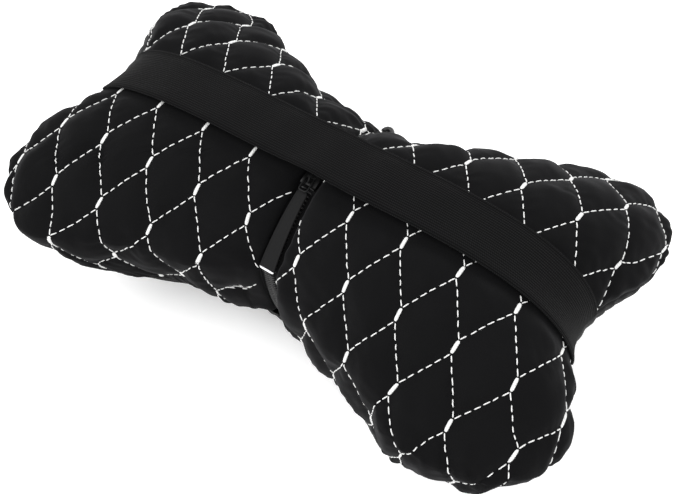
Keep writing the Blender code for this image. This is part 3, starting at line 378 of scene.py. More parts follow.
def cloth_tables():
    """Length of cloth along and across the pillow from its middle, on a grid over the plan:
    the plan's own length and what the rise and fall of the crown adds to it."""
    gx = np.arange(-110, 111) * CLOTH_STEP
    gy = np.arange(-75, 76) * CLOTH_STEP
    x, y = np.meshgrid(gx, gy, indexing="ij")
    share = np.minimum(np.hypot(x, y) / outline_radius(np.arctan2(y, x)), 1)
    z = crown_height(x, y, share)
    ease_x = smooth((np.abs(gx) / LOBE_X - 0.45) / 0.4)
    ease_y = smooth(np.abs(gy) / LOBE_Y / 0.5)
    past_notch = np.clip((np.abs(gx) / NOTCH_HALF - 0.85) / 0.15, 0, 1)[:, None]
    extra_x = np.hypot(np.diff(z, axis=0), CLOTH_STEP) - CLOTH_STEP
    extra_x = extra_x * (ease_x[1:] + ease_x[:-1])[:, None] / 2
    extra_y = np.hypot(np.diff(z, axis=1), CLOTH_STEP) - CLOTH_STEP
    extra_y = extra_y * (1 - past_notch * (1 - (ease_y[1:] + ease_y[:-1])[None, :] / 2))
    s = np.vstack([np.zeros((1, len(gy))), np.cumsum(extra_x, axis=0)])
    t = np.hstack([np.zeros((len(gx), 1)), np.cumsum(extra_y, axis=1)])
    s = s - s[len(gx) // 2] + x
    t = t - t[:, len(gy) // 2][:, None] + y
    return gx, gy, s, t


CLOTH = cloth_tables()


def cloth(w, phi):
    """Place on the cloth of a point of the back, read between the tables' points, and below
    the widest line carried on by the length walked down the side."""
    gx, gy, table_s, table_t = CLOTH
    on_top = body(np.minimum(w, 1), phi)
    place = ((on_top[..., 0] - gx[0]) / CLOTH_STEP, (on_top[..., 1] - gy[0]) / CLOTH_STEP)
    below = np.maximum(w - 1, 0)
    walk = [body(1 + below * k / 8, phi) for k in range(9)]
    length = sum(np.linalg.norm(b - a, axis=-1) for a, b in zip(walk, walk[1:]))
    step = 1e-4
    radius, ahead = outline_radius(phi), outline_radius(phi + step)
    tx = ahead * np.cos(phi + step) - radius * np.cos(phi)
    ty = ahead * np.sin(phi + step) - radius * np.sin(phi)
    size = np.hypot(tx, ty)
    s = read_grid(table_s, *place) + length * ty / size
    return s, read_grid(table_t, *place) - length * tx / size


def pocket(s, t, start):
    """Stitched pocket at a place on the cloth. The stitch lines run from the end of a bar to
    the end of the next, so each pocket has six sides: two along bars and four slanted. Gives
    its dome, the product of 1 - exp(-distance / softness) over the sides, the distance to
    the nearest side, the length along that side, and a number drawn for the pocket."""
    half_w, half_l, half_bar = DIAMOND_WIDTH / 2, DIAMOND_LENGTH / 2, BAR_LENGTH / 2
    slant = np.array([half_w, half_l - BAR_LENGTH])
    side_length = np.linalg.norm(slant)
    best = None
    for shift in ((0.5, 0.0), (0.0, 0.5)):
        column = (s - start[0]) / DIAMOND_WIDTH - shift[0]
        row = (t - start[1]) / DIAMOND_LENGTH - shift[1]
        i, j = np.round(column), np.round(row)
        x, y = (column - i) * DIAMOND_WIDTH, (row - j) * DIAMOND_LENGTH

        def slanted(px, py):
            return ((half_w - px) * slant[1] - (py - half_bar) * slant[0]) / side_length

        sides = [half_w - x, half_w + x] + [slanted(a * x, b * y) for a in (-1, 1) for b in (-1, 1)]
        nearest = np.minimum.reduce(sides)
        along = ((half_w - np.abs(x)) * slant[0] + (np.abs(y) - half_bar) * slant[1]) / side_length
        drawn = np.mod(np.sin(i * 12.9898 + j * 78.233 + shift[0] * 37.7) * 43758.5453, 1.0)
        dome = np.ones_like(x)
        for distance in sides:
            inside = np.maximum(distance, 0)
            dome = dome * (1 - np.exp(-(np.hypot(inside, GROOVE_HALF) - GROOVE_HALF) / PUFF_SOFTNESS))
        made = (nearest, dome, along, drawn)
        if best is None:
            best = made
        else:
            best = tuple(np.where(nearest > best[0], new, old) for new, old in zip(made, best))
    nearest, dome, along, drawn = best
    return dome, np.maximum(nearest, 0), np.clip(along / side_length, 0, 1), drawn


def swollen(side):
    """Height of a slack cloth over the form, blown up between the stitch lines that hold it:
    a cloth simulation on a grid with half the quilt's steps, capped and then evened out."""
    u, v = half_square(side, PANEL_COLUMNS // 2, PANEL_ROWS // 2)
    w, phi = back_place(u, v)
    s, t = cloth(w, phi)
    distance = pocket(s, t, PATTERN_RIGHT if side > 0 else PATTERN_LEFT)[1]
    form = body(w, phi)
    base, normal = sunk(w, phi, valley(form[..., 0], w)), body_normal(w, phi)
    start = base + normal * (BLOW_START * smooth(distance / 0.004))[..., None]
    work = make_piece("blown", start, grid_quads(PANEL_COLUMNS // 2, PANEL_ROWS // 2, flip=side < 0))
    held = distance < HELD_REACH
    held[0] = held[-1] = held[:, 0] = held[:, -1] = True
    held |= np.abs(form[..., 1]) < BAND_WIDTH / 2
    pins = work.vertex_groups.new(name="held")
    pins.add([int(k) for k in np.flatnonzero(held.ravel())], 1.0, "REPLACE")
    blow = work.modifiers.new("blow", "CLOTH")
    for label, value in (("quality", 5), ("mass", 0.03), ("vertex_group_mass", "held"),
                         ("use_pressure", True), ("uniform_pressure_force", 400),
                         ("shrink_min", -0.03), ("bending_stiffness", 0.5)):
        setattr(blow.settings, label, value)
    blow.settings.effector_weights.gravity = 0
    blow.collision_settings.use_collision = False
    blow.point_cache.frame_start, blow.point_cache.frame_end = 1, BLOW_FRAMES
    for moment in range(1, BLOW_FRAMES + 1):
        bpy.context.scene.frame_set(moment)
    shape = work.evaluated_get(bpy.context.evaluated_depsgraph_get()).data
    places = np.empty(len(shape.vertices) * 3)
    shape.vertices.foreach_get("co", places)
    places = places.reshape(*w.shape, 3) - SHAPE_MIDDLE
    height = np.clip(((places - base) * normal).sum(axis=-1), -0.0002, PUFF_HEIGHT * 1.3)
    bpy.context.scene.frame_set(1)
    mesh = work.data
    bpy.data.objects.remove(work)
    bpy.data.meshes.remove(mesh)
    for _ in range(2):
        height = np.vstack([height[:1], height, height[-1:]])
        height = (height[:-2] + 2 * height[1:-1] + height[2:]) / 4
        fine = np.empty((2 * len(height) - 1, height.shape[1]))
        fine[::2], fine[1::2] = height, (height[:-1] + height[1:]) / 2
        height = fine.T
    return height


def relief(w, phi, side):
    """Height of the outer face over the form: puffed pockets, gathered by each stitch and
    creased beside the lines, flattened under the band, and rolled in at the zip and seam."""
    flat = body(w, phi)
    x, y = flat[..., 0], flat[..., 1]
    s, t = cloth(w, phi)
    dome, distance, along, drawn = pocket(s, t, PATTERN_RIGHT if side > 0 else PATTERN_LEFT)
    centre = (1 - np.exp(-DIAMOND_WIDTH / 2 / PUFF_SOFTNESS))**5
    rise = (dome / centre)**DOME_POWER
    blown = swollen(side) / PUFF_HEIGHT * (1 - np.exp(-distance / 0.0015))
    rise = DOME_SHARE * rise + BLOWN_SHARE * blown
    under_band = UNDER_BAND + (1 - UNDER_BAND) * smooth((np.abs(y) - BAND_WIDTH / 2) / EDGE_TAPER)
    closed = closed_share(y)
    from_zip = np.abs(x) - ZIP_OPENING_HALF + FOLD_CLOSING * closed
    by_zip = smooth(from_zip / EDGE_TAPER)
    from_seam = (seam_place(phi) - w) * WAIST_HALF * 2
    by_seam = smooth(from_seam / EDGE_TAPER)
    puff = PUFF_HEIGHT * (0.88 + 0.24 * drawn) * rise * under_band * by_zip * by_seam
    gather = np.cos(along * STITCHES_A_SIDE * 2 * np.pi) * np.exp(-distance / GATHER_REACH)
    window = np.sin(along * np.pi)
    crease = waves(along * 0.0249, drawn * 0.05, 0.0075, 5) * window
    crease = crease * distance / CREASE_REACH * np.exp(1 - distance / CREASE_REACH)
    lumps = rise * waves(s, t, LUMP_LENGTH, 7 if side > 0 else 8)
    fine = GATHER_HEIGHT * gather + CREASE_HEIGHT * crease + LUMP_HEIGHT * lumps
    height = puff + under_band * by_seam * fine
    seam_run = outline_length(phi)
    pucker = np.cos(seam_run * 2 * np.pi / PUCKER_PITCH + 2.2 * waves(seam_run, 0 * w, 0.05, 11))
    pucker = pucker + 0.6 * waves(seam_run, 0 * w, 0.006, 12)
    reach = np.maximum(from_seam, 0)
    height = height + PUCKER_HEIGHT * pucker * reach / PUCKER_REACH * np.exp(1 - reach / PUCKER_REACH)
    roll = np.clip(1 - reach / SEAM_ROUND, 0, 1)
    height = height - SEAM_DROP * (1 - np.sqrt(np.maximum(1 - roll**2, 0)))
    gathered = smooth((np.abs(y) - 0.030) / 0.014) * np.exp(-(x / 0.022)**2) * smooth(from_seam / 0.003)
    pleats = np.cos((y + 0.3 * np.abs(x)) * 2 * np.pi / PLEAT_PITCH + 1.5 * waves(x, y, 0.03, 17))
    height = height + PLEAT_HEIGHT * gathered * pleats + FOLD_RISE * closed * np.exp(-(x / 0.006)**2)
    fold = np.clip(1 - np.maximum(from_zip, 0) / FOLD_ROUND, 0, 1)
    return height - FOLD_DROP * (1 - np.sqrt(np.maximum(1 - fold**2, 0)))


def half_square(side, columns, rows):
    """Grid over one half of the back, from the fold beside the zip to the end."""
    v = np.linspace(-1, 1, rows + 1)
    edge = ZIP_OPENING_HALF - FOLD_CLOSING * closed_share(v * WAIST_HALF)
    start = column_at(side * edge, v)
    share = np.linspace(0, 1, columns + 1)[:, None]
    u = start + (side - start) * share
    return u, np.broadcast_to(v, u.shape)


def quilted_half(name, side):
    """Shell of one half: the puffed outer face, and a plain inner face on the filling."""
    u, v = half_square(side, PANEL_COLUMNS, PANEL_ROWS)
    w, phi = back_place(u, v)
    height = relief(w, phi, side)
    outer = sunk(w, phi, valley(body(w, phi)[..., 0], w) - height)
    low_u, low_v = half_square(side, PANEL_COLUMNS // INNER_RATIO, PANEL_ROWS // INNER_RATIO)
    low_w, low_phi = back_place(low_u, low_v)
    inner = sunk(low_w, low_phi, valley(body(low_w, low_phi)[..., 0], low_w) + PANEL_THICKNESS)
    s, t = cloth(w, phi)
    low_uv = np.stack(cloth(low_w, low_phi), -1)
    piece = shell_piece(name, outer, inner, INNER_RATIO, side < 0, np.stack([s, t], -1), low_uv)
    return piece, outer, s, t


def shader_node(tree, kind, inputs=(), **settings):
    """New node with its settings and with values for its inputs."""
    made = tree.nodes.new(kind)
    for label, value in settings.items():
        setattr(made, label, value)
    for label, value in dict(inputs).items():
        made.inputs[label].default_value = value
    return made


def join(tree, *links):
    """Links, each from an output of one node to an input of another."""
    for source, outlet, target, inlet in links:
        tree.links.new(source.outputs[outlet], target.inputs[inlet])


def new_finish(name, colour, roughness, **fixed):
    """Material whose fixed values stand on the shader's own sockets."""
    made = bpy.data.materials.new(name)
    made.use_nodes = True
    shader = made.node_tree.nodes["Principled BSDF"]
    shader.inputs["Base Color"].default_value = (*colour, 1)
    shader.inputs["Roughness"].default_value = roughness
    for label, value in fixed.items():
        shader.inputs[label.replace("_", " ")].default_value = value
    return made, made.node_tree, shader


def tint(tree, shader, node, outlet, dark, light):
    """Colour that runs from dark to light with the mask that a node puts out."""
    tone = shader_node(tree, "ShaderNodeMix", {"A": (*dark, 1), "B": (*light, 1)}, data_type="RGBA")
    join(tree, (node, outlet, tone, "Factor"), (tone, "Result", shader, "Base Color"))


def emboss(tree, shader, node, outlet, depth, strength):
    """Fine relief of a depth from the height that a node puts out."""
    bump = shader_node(tree, "ShaderNodeBump", {"Strength": strength, "Distance": depth})
    join(tree, (node, outlet, bump, "Height"), (bump, "Normal", shader, "Normal"))


def nap_group():
    """Brushed nap: fine fibres and larger strokes where a hand has passed. Puts out a mask
    that changes over the surface and the fibres' height."""
    group = bpy.data.node_groups.new("nap", "ShaderNodeTree")
    for label, way, kind in (
            ("Place", "INPUT", "Vector"), ("Fibre", "INPUT", "Float"), ("Stroke", "INPUT", "Float"),
            ("Mask", "OUTPUT", "Float"), ("Height", "OUTPUT", "Float")):
        group.interface.new_socket(label, in_out=way, socket_type="NodeSocket" + kind)
    into, out = group.nodes.new("NodeGroupInput"), group.nodes.new("NodeGroupOutput")
    fibre = shader_node(group, "ShaderNodeTexNoise", {"Detail": 3})
    stroke = shader_node(group, "ShaderNodeTexNoise", {"Detail": 2, "Distortion": 0.6})
    mix = shader_node(group, "ShaderNodeMath", {1: 0.45}, operation="MULTIPLY_ADD")
    half = shader_node(group, "ShaderNodeMath", {1: 0.55}, operation="MULTIPLY")
    join(group, (into, "Place", fibre, "Vector"), (into, "Fibre", fibre, "Scale"),
         (into, "Place", stroke, "Vector"), (into, "Stroke", stroke, "Scale"),
         (stroke, "Fac", half, 0), (fibre, "Fac", mix, 0), (half, 0, mix, 2),
         (mix, 0, out, "Mask"), (fibre, "Fac", out, "Height"))
    return group


NAP = nap_group()


def napped(name, dark, light, roughness, fibre, stroke, relief_depth, **fixed):
    """Cloth with a nap: its colour runs from dark to light with the nap's mask, and the
    fibres stand up by relief_depth."""
    made, tree, shader = new_finish(name, dark, roughness, **fixed)
    place = shader_node(tree, "ShaderNodeTexCoord")
    nap = shader_node(tree, "ShaderNodeGroup", {"Fibre": fibre, "Stroke": stroke}, node_tree=NAP)
    join(tree, (place, "Object", nap, "Place"))
    tint(tree, shader, nap, "Mask", dark, light)
    emboss(tree, shader, nap, "Height", relief_depth, 0.6)
    return made


VELOUR = napped("velour_black", (0.0021, 0.0021, 0.0023), (0.0044, 0.0044, 0.0048), 0.9, 1500, 45, 0.00012,
                Sheen_Weight=0.075, Sheen_Roughness=0.35, Sheen_Tint=(0.55, 0.55, 0.58, 1),
                Specular_IOR_Level=0.08)

quilts = {}
for name, side, node in (("quilt_left", -1, "back_panel_left"), ("quilt_right", 1, "back_panel_right")):
    piece, outer, s, t = quilted_half(name, side)
    piece.data.materials.append(VELOUR)
    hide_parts(node)
    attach(piece, "cushion")
    quilts[side] = (outer, s, t)


# Stitches. White polyester thread, sewn through velour and wadding by machine in six
# stitches from bar to bar. Each stitch lies in the groove that it pulls, and dips into the
# cloth at both ends.

STITCH_SHARE = 0.72
THREAD_RADIUS = 0.00029
STITCH_RISE = 0.00035
STITCH_SINK = 0.00015
OFF_QUILT = 0.0008
CLOTH_REACH = (0.19, 0.13)


def on_quilt(side, s, t):
    """Points and normals of the quilt at places on the cloth: the nearest grid point, five
    steps by the grid's own slopes, and a reading between its four neighbours. Also says
    which places lie on the quilt at all."""
    outer, grid_s, grid_t = quilts[side]
    nu, nv = grid_s.shape
    flat_s, flat_t = grid_s.ravel(), grid_t.ravel()
    nearest = np.empty(s.size, int)
    for first in range(0, s.size, 200):
        part = slice(first, first + 200)
        gap = (s.ravel()[part, None] - flat_s)**2 + (t.ravel()[part, None] - flat_t)**2
        nearest[part] = gap.argmin(axis=1)
    i, j = (nearest // nv).astype(float), (nearest % nv).astype(float)

    def slopes(table, reach):
        down = read_grid(table, i + reach, j) - read_grid(table, i - reach, j)
        return down, read_grid(table, i, j + reach) - read_grid(table, i, j - reach)

    for _ in range(5):
        miss_s, miss_t = s.ravel() - read_grid(grid_s, i, j), t.ravel() - read_grid(grid_t, i, j)
        s_i, s_j = slopes(grid_s, 0.5)
        t_i, t_j = slopes(grid_t, 0.5)
        area = s_i * t_j - s_j * t_i
        area = np.where(np.abs(area) < 1e-12, 1e-12, area)
        i = np.clip(i + np.clip((miss_s * t_j - miss_t * s_j) / area, -1, 1), 0, nu - 1)
        j = np.clip(j + np.clip((miss_t * s_i - miss_s * t_i) / area, -1, 1), 0, nv - 1)
    miss = np.hypot(s.ravel() - read_grid(grid_s, i, j), t.ravel() - read_grid(grid_t, i, j))
    points = read_grid(outer, i, j).reshape(*s.shape, 3)
    normal = unit(np.cross(*slopes(outer, 1.5)) * side).reshape(*s.shape, 3)
    return points, normal, (miss < OFF_QUILT).reshape(s.shape)


def crossings(side):
    """Places on the cloth where two stitch lines meet, all over the half and past it."""
    start = PATTERN_RIGHT if side > 0 else PATTERN_LEFT
    m, n = np.meshgrid(np.arange(-40, 41), np.arange(-10, 11), indexing="ij")
    even = (m + n) % 2 == 0
    m, n = m[even], n[even]
    return start[0] + m * DIAMOND_WIDTH / 2, start[1] + n * DIAMOND_LENGTH / 2


def tubes(spine, normal, radius, sides):
    """Closed tubes round many short paths: circles of the radius, or of a radius for each
    ring, square to each path, with each end closed by a flat cap."""
    along = unit(np.gradient(spine, axis=1))
    out = unit(normal - along * (normal * along).sum(axis=2, keepdims=True))
    beside = np.cross(along, out)
    turn = np.arange(sides) * 2 * np.pi / sides
    ring = out[:, :, None] * np.cos(turn)[:, None] + beside[:, :, None] * np.sin(turn)[:, None]
    points = spine[:, :, None] + ring * np.broadcast_to(radius, spine.shape[:2])[:, :, None, None]
    count, rings = spine.shape[:2]
    size = rings * sides
    faces = repeated(grid_quads(rings - 1, sides, closed_v=True), count, size)
    faces += repeated([range(sides)], count, size)
    faces += repeated([range(size - 1, size - 1 - sides, -1)], count, size)
    return points.reshape(-1, 3), faces


def thread_finish():
    """Bright polyester thread: white with a soft gloss, its plies as fine slanted ridges, their crests
    painted lighter and their grooves darker as painted highlight and shade.
    """
    made, tree, shader = new_finish("thread_white", (0.78, 0.78, 0.77), 0.55, Specular_IOR_Level=0.4,
                                    Sheen_Weight=0.2)
    place = shader_node(tree, "ShaderNodeTexCoord")
    ply_ridges_and_shade = shader_node(tree, "ShaderNodeTexWave", {"Scale": 420, "Distortion": 1.5},
                      wave_type="BANDS", bands_direction="DIAGONAL")
    join(tree, (place, "Object", ply_ridges_and_shade, "Vector"))
    # painted highlight and shade: the ply crests take the lighter white and the grooves between them the
    # darker one
    tint(tree, shader, ply_ridges_and_shade, "Fac", (0.62, 0.62, 0.61), (0.85, 0.85, 0.84))
    emboss(tree, shader, ply_ridges_and_shade, "Fac", 0.0001, 0.5)
    return made


THREAD = thread_finish()


def stitch_lines(name, side):
    """Every stitch of one half. A line leaves the lower end of a bar and ends at the upper
    end of a bar half a pocket to the left or right, and its stitches share it evenly."""
    rng = np.random.default_rng(21 + side)
    cs, ct = crossings(side)
    starts, ends = [], []
    for way in (-1, 1):
        starts.append(np.stack([cs, ct - BAR_LENGTH / 2], -1))
        ends.append(np.stack([cs + way * DIAMOND_WIDTH / 2, ct - DIAMOND_LENGTH / 2 + BAR_LENGTH / 2], -1))
    start, end = np.vstack(starts), np.vstack(ends)
    k = np.arange(STITCHES_A_SIDE)
    share = STITCH_SHARE * rng.uniform(0.9, 1.08, (len(start), len(k)))
    middle = (k + 0.5) + rng.normal(0, 0.04, share.shape)
    ring = np.linspace(-0.5, 0.5, 7)
    place = (middle[..., None] + share[..., None] * ring) / STITCHES_A_SIDE
    place = place.reshape(-1, len(ring))
    which = np.repeat(np.arange(len(start)), len(k))
    sway = rng.normal(0, 0.00012, (len(which), 1)) + rng.normal(0, 0.00015, (len(which), 1)) * ring
    s = start[which, 0:1] + (end[which, 0:1] - start[which, 0:1]) * place + sway
    t = start[which, 1:2] + (end[which, 1:2] - start[which, 1:2]) * place
    near = (np.abs(s).max(axis=1) < CLOTH_REACH[0]) & (np.abs(t).max(axis=1) < CLOTH_REACH[1])
    near &= s.mean(axis=1) * side > -0.004
    s, t = s[near], t[near]
    points, normal, on = on_quilt(side, s, t)
    keep = on.all(axis=1)
    points, normal = points[keep], normal[keep]
    arch = 1 - (2 * ring)**4
    points = points + normal * (STITCH_RISE * arch - STITCH_SINK)[None, :, None]
    radius = THREAD_RADIUS * (0.45 + 0.55 * np.sqrt(np.clip(1 - (2 * ring)**6, 0, 1)))
    points, faces = tubes(points, normal, radius[None, :], 6)
    piece = outward(make_piece(name, points, faces))
    piece.data.materials.append(THREAD)
    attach(piece, "cushion")
    return piece


for name, side, node in (("stitches_left", -1, "quilt_stitching_left"),
                         ("stitches_right", 1, "quilt_stitching_right")):
    stitches = stitch_lines(name, side)
    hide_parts(node)


# Satin bars. Where two stitch lines meet they run together under a bar of close zigzag
# windings of the same white thread, which stands out of the cloth like a grain of rice.

BAR_HALF_WIDTH = 0.00088
BAR_RISE = 0.00075
BAR_SINK = 0.0002
WINDINGS = 15


def satin_bars(name, side):
    """Every bar of one half: a half round mound along the cloth, its width and height waved
    with the windings and drawn in at the ends."""
    rng = np.random.default_rng(31 + side)
    cs, ct = crossings(side)
    near = (np.abs(cs) < CLOTH_REACH[0]) & (np.abs(ct) < CLOTH_REACH[1]) & (cs * side > -0.002)
    cs, ct = cs[near], ct[near]
    rows = 2 * WINDINGS + 1
    along = np.linspace(-1, 1, rows)
    turn = np.linspace(0, np.pi, 7)
    ends = np.sqrt(np.clip(1 - np.abs(along)**5, 0, 1))
    zigzag = 1 + 0.10 * (-1.0)**np.arange(rows)
    lean = rng.normal(0, 0.05, len(cs))[:, None, None]
    stretch = rng.uniform(0.92, 1.08, len(cs))[:, None, None]
    across = np.cos(turn)[None, None, :] * (BAR_HALF_WIDTH * ends * zigzag)[None, :, None] * stretch
    place = along[None, :, None] * BAR_LENGTH / 2 * 1.02 + 0 * across
    s = cs[:, None, None] + across + place * lean
    t = ct[:, None, None] + place + across * 0.18
    points, normal, on = on_quilt(side, s, t)
    keep = on.mean(axis=(1, 2)) > 0.9
    points, normal = points[keep], normal[keep]
    rise = np.sin(turn)[None, :] * (BAR_RISE * ends * zigzag)[:, None] - BAR_SINK
    points = points + normal * rise[None, :, :, None]
    wide = len(turn)
    size, count = rows * wide, len(points)
    under = [(k, k + wide - 1, k + 2 * wide - 1, k + wide) for k in range(0, size - wide, wide)]
    faces = repeated(grid_quads(rows - 1, wide - 1), count, size) + repeated(under, count, size)
    faces += repeated([range(wide)], count, size)
    faces += repeated([range(size - 1, size - 1 - wide, -1)], count, size)
    piece = outward(make_piece(name, points.reshape(-1, 3), faces))
    piece.data.materials.append(THREAD)
    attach(piece, "cushion")
    return piece


for name, side in (("satin_bars_left", -1), ("satin_bars_right", 1)):
    satin_bars(name, side)


# Knit front. One piece of black warp knit without quilting, sewn to the back's edge. It
# carries the pillow, so its middle is pressed flat on the floor.

FRONT_THICKNESS = 0.0012
KNIT_PUCKER_HEIGHT, KNIT_PUCKER_PITCH, KNIT_PUCKER_REACH = 0.00035, 0.0090, 0.006


def knit_front():
    """Shell of the front: the form itself, with soft puckers that die away from the seam."""
    def face(columns, rows, depth, shaped):
        u, v = np.meshgrid(np.linspace(-1, 1, columns + 1), np.linspace(-1, 1, rows + 1), indexing="ij")
        w, phi = front_place(u, v)
        from_seam = np.maximum(w - seam_place(phi), 0) * WAIST_HALF * 2
        run = outline_length(phi)
        pucker = np.cos(run * 2 * np.pi / KNIT_PUCKER_PITCH + 2.5 * waves(run, 0 * w, 0.06, 14))
        reach = from_seam / KNIT_PUCKER_REACH
        pucker = KNIT_PUCKER_HEIGHT * pucker * reach * np.exp(1 - reach)
        roll = np.clip(1 - from_seam / SEAM_ROUND, 0, 1)
        drop = SEAM_DROP * (1 - np.sqrt(np.maximum(1 - roll**2, 0)))
        height = (pucker - drop) if shaped else 0 * w
        points = sunk(w, phi, depth - height)
        points[..., 2] = np.maximum(points[..., 2], depth)
        across = np.stack([u * 0.17, v * 0.12], -1)
        return points, across

    outer, uv = face(240, 160, 0.0, True)
    inner, low_uv = face(60, 40, FRONT_THICKNESS, False)
    return shell_piece("front_knit", outer, inner, 4, True, uv, low_uv)


def ribbed(name, dark, light, roughness, wale, course, depth, **fixed):
    """Knitted or woven ground: crossed bands along and across the cloth's own map, wale and
    course apart, which raise the surface by depth. The high threads get the light colour and the low ones the
    dark, a painted highlight on the crests of the ribs."""
    made, tree, shader = new_finish(name, dark, roughness, **fixed)
    place = shader_node(tree, "ShaderNodeUVMap", uv_map="cloth")
    bands = []
    for direction, pitch in (("Y", wale), ("X", course)):
        settings = {"Scale": np.pi / 10 / pitch, "Distortion": 0.25, "Detail": 1}
        bands.append(shader_node(tree, "ShaderNodeTexWave", settings, wave_type="BANDS",
                                 bands_direction=direction))
        join(tree, (place, "UV", bands[-1], "Vector"))
    both = shader_node(tree, "ShaderNodeMath", operation="MULTIPLY")
    rib_height_and_highlight = shader_node(tree, "ShaderNodeMath", {1: 0.45}, operation="MULTIPLY_ADD")
    join(tree, (bands[0], "Fac", both, 0), (bands[1], "Fac", both, 1),
         (bands[0], "Fac", rib_height_and_highlight, 0), (both, 0, rib_height_and_highlight, 2))
    # painted highlight: the rib crests take the light colour and the hollows the dark one, following the same
    # height as the bump
    tint(tree, shader, rib_height_and_highlight, 0, dark, light)
    emboss(tree, shader, rib_height_and_highlight, 0, depth, 0.7)
    return made


# the knit's second colour is painted highlight, put on the crests of its ribs
KNIT = ribbed("knit_black", (0.003, 0.003, 0.0032), (0.010, 0.010, 0.0105), 0.85, 0.0011, 0.0009, 0.0002,
              Sheen_Weight=0.10, Sheen_Roughness=0.5, Specular_IOR_Level=0.12)
front = knit_front()
front.data.materials.append(KNIT)
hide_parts("front_panel")
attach(front, "cushion")


# Filling. A white inner bag of spun fibre stuffed tight, which gives the cover its form and
# is out of sight while the zip is closed.

BAG_DEPTH, BAG_SEAM_DEPTH = 0.0030, 0.0016
BAG_CHANNEL = 0.0048


def inner_bag():
    """Closed bag under the cover: the form drawn in by the cloth, with a channel at the zip."""
    def face(place, top):
        u, v = np.meshgrid(np.linspace(-1, 1, 97), np.linspace(-1, 1, 65), indexing="ij")
        w, phi = place(u, v)
        x = body(w, phi)[..., 0]
        depth = BAG_DEPTH + BAG_SEAM_DEPTH * smooth((plan(u, v)[0] - 0.85) / 0.15)
        if top:
            depth = depth + valley(x, w) + BAG_CHANNEL * (1 - smooth((np.abs(x) - 0.015) / 0.005))
        return sunk(w, phi, depth)

    top, low = face(back_place, True), face(front_place, False)
    low[0], low[-1], low[:, 0], low[:, -1] = top[0], top[-1], top[:, 0], top[:, -1]
    faces = grid_quads(96, 64) + grid_quads(96, 64, first=97 * 65, flip=True)
    return outward(make_piece("inner_bag", np.vstack([top.reshape(-1, 3), low.reshape(-1, 3)]), faces))


WADDING = napped("wadding_white", (0.62, 0.62, 0.60), (0.80, 0.80, 0.78), 0.95, 700, 60, 0.0004)
bag = inner_bag()
bag.data.materials.append(WADDING)
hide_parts("filling")
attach(bag, "cushion")


# Elastic band. Black ribbed elastic, 30 mm wide and as long as the pillow's back, sewn into
# both end seams. It lies tight on the lobes, stands clear over the zip's valley, and has
# firm corded borders.

BAND_THICKNESS = 0.0013
BAND_SEAT = 0.0016
BAND_LIFT = 0.0045
BAND_NARROWING = 0.0010
BAND_ROWS = 330
BAND_COLUMNS = 64
BORDER_WIDTH = 0.0026


def end_reach(y, side):
    """Distance from the middle to the outline's end on a side, at a distance y across."""
    turn = np.linspace(-QUARTER_TURN / 4, QUARTER_TURN / 4, 401)
    radius = outline_radius(turn if side > 0 else 2 * QUARTER_TURN - turn)
    return np.interp(y, radius * np.sin(turn), radius * np.cos(turn))


def elastic():
    """Band as a closed shell: a strip over the form from seam to seam, thinner at its rolled
    edges, with three cords along each border. Its rows are closer together there."""
    turn = np.linspace(-1, 1, BAND_ROWS + 1)[:, None]
    share = np.linspace(-1, 1, BAND_COLUMNS + 1)[None, :]
    across = np.sin(share * QUARTER_TURN * 0.9) / np.sin(QUARTER_TURN * 0.9)
    narrow = BAND_NARROWING * (np.cos(turn * QUARTER_TURN)**2 + np.abs(turn)**12)
    y = across * (BAND_WIDTH / 2 - narrow)
    ends = []
    for side in (-1, 1):
        phi = np.arctan2(y, side * NOTCH_HALF)
        ends.append(np.sin((seam_place(phi) - 0.014) * QUARTER_TURN))
    angle = turn * np.arcsin(np.where(turn < 0, ends[0], ends[1]))
    x = np.sin(angle) * np.where(turn < 0, end_reach(y, -1), end_reach(y, 1))
    y = y + 0 * x
    phi = np.arctan2(y, x)
    w = np.arcsin(np.minimum(np.hypot(x, y) / outline_radius(phi), 1)) / QUARTER_TURN
    flat = smooth(1 - np.abs(x) / (3 * VALLEY_HALF))
    proud = np.cos(np.clip(x / NOTCH_HALF, -1, 1) * QUARTER_TURN)**2
    from_edge = (1 - np.abs(across)) * BAND_WIDTH / 2 + 0 * x
    cords = 0.00012 * np.cos(from_edge * 2 * np.pi / (BORDER_WIDTH / 3)) * (from_edge < BORDER_WIDTH)
    roll = np.clip(1 - from_edge / (BAND_THICKNESS / 2), 0, 1)
    inset = BAND_THICKNESS / 2 * (1 - np.sqrt(np.maximum(1 - roll**2, 0)))
    sway = 0.00030 * waves(x, y * 0.6, 0.035, 41) * smooth(from_edge / 0.006)
    settle = 0.9 * BAND_SEAT * np.abs(turn)**10

    def face(depth):
        points = sunk(w, phi, depth + settle)
        level = sunk(w, phi, np.full(w.shape, -BAND_SEAT))[:, BAND_COLUMNS // 2, 2][:, None]
        base = sunk(w, phi, np.full(w.shape, -BAND_SEAT))[..., 2]
        points[..., 2] += (level - base) * flat + BAND_LIFT * proud
        return points

    low = face(-BAND_SEAT - inset)
    top = face(-BAND_SEAT - BAND_THICKNESS + inset - cords - sway)
    rows, columns = BAND_ROWS, BAND_COLUMNS
    count = top.shape[0] * top.shape[1]
    faces = grid_quads(rows, columns) + grid_quads(rows, columns, first=count, flip=True)
    upper, under = grid_border(rows, columns), grid_border(rows, columns, first=count)
    for k in range(len(upper)):
        n = (k + 1) % len(upper)
        faces.append((upper[n], upper[k], under[k], under[n]))
    length = np.append(0, np.cumsum(np.linalg.norm(np.diff(top[:, columns // 2], axis=0), axis=1)))
    uv = np.stack([length[:, None] + 0 * x, across * BAND_WIDTH / 2 + 0 * x], -1)
    piece = make_piece("elastic_strap", np.vstack([top.reshape(-1, 3), low.reshape(-1, 3)]), faces,
                       np.vstack([uv.reshape(-1, 2)] * 2))
    return piece, float(length[-1])


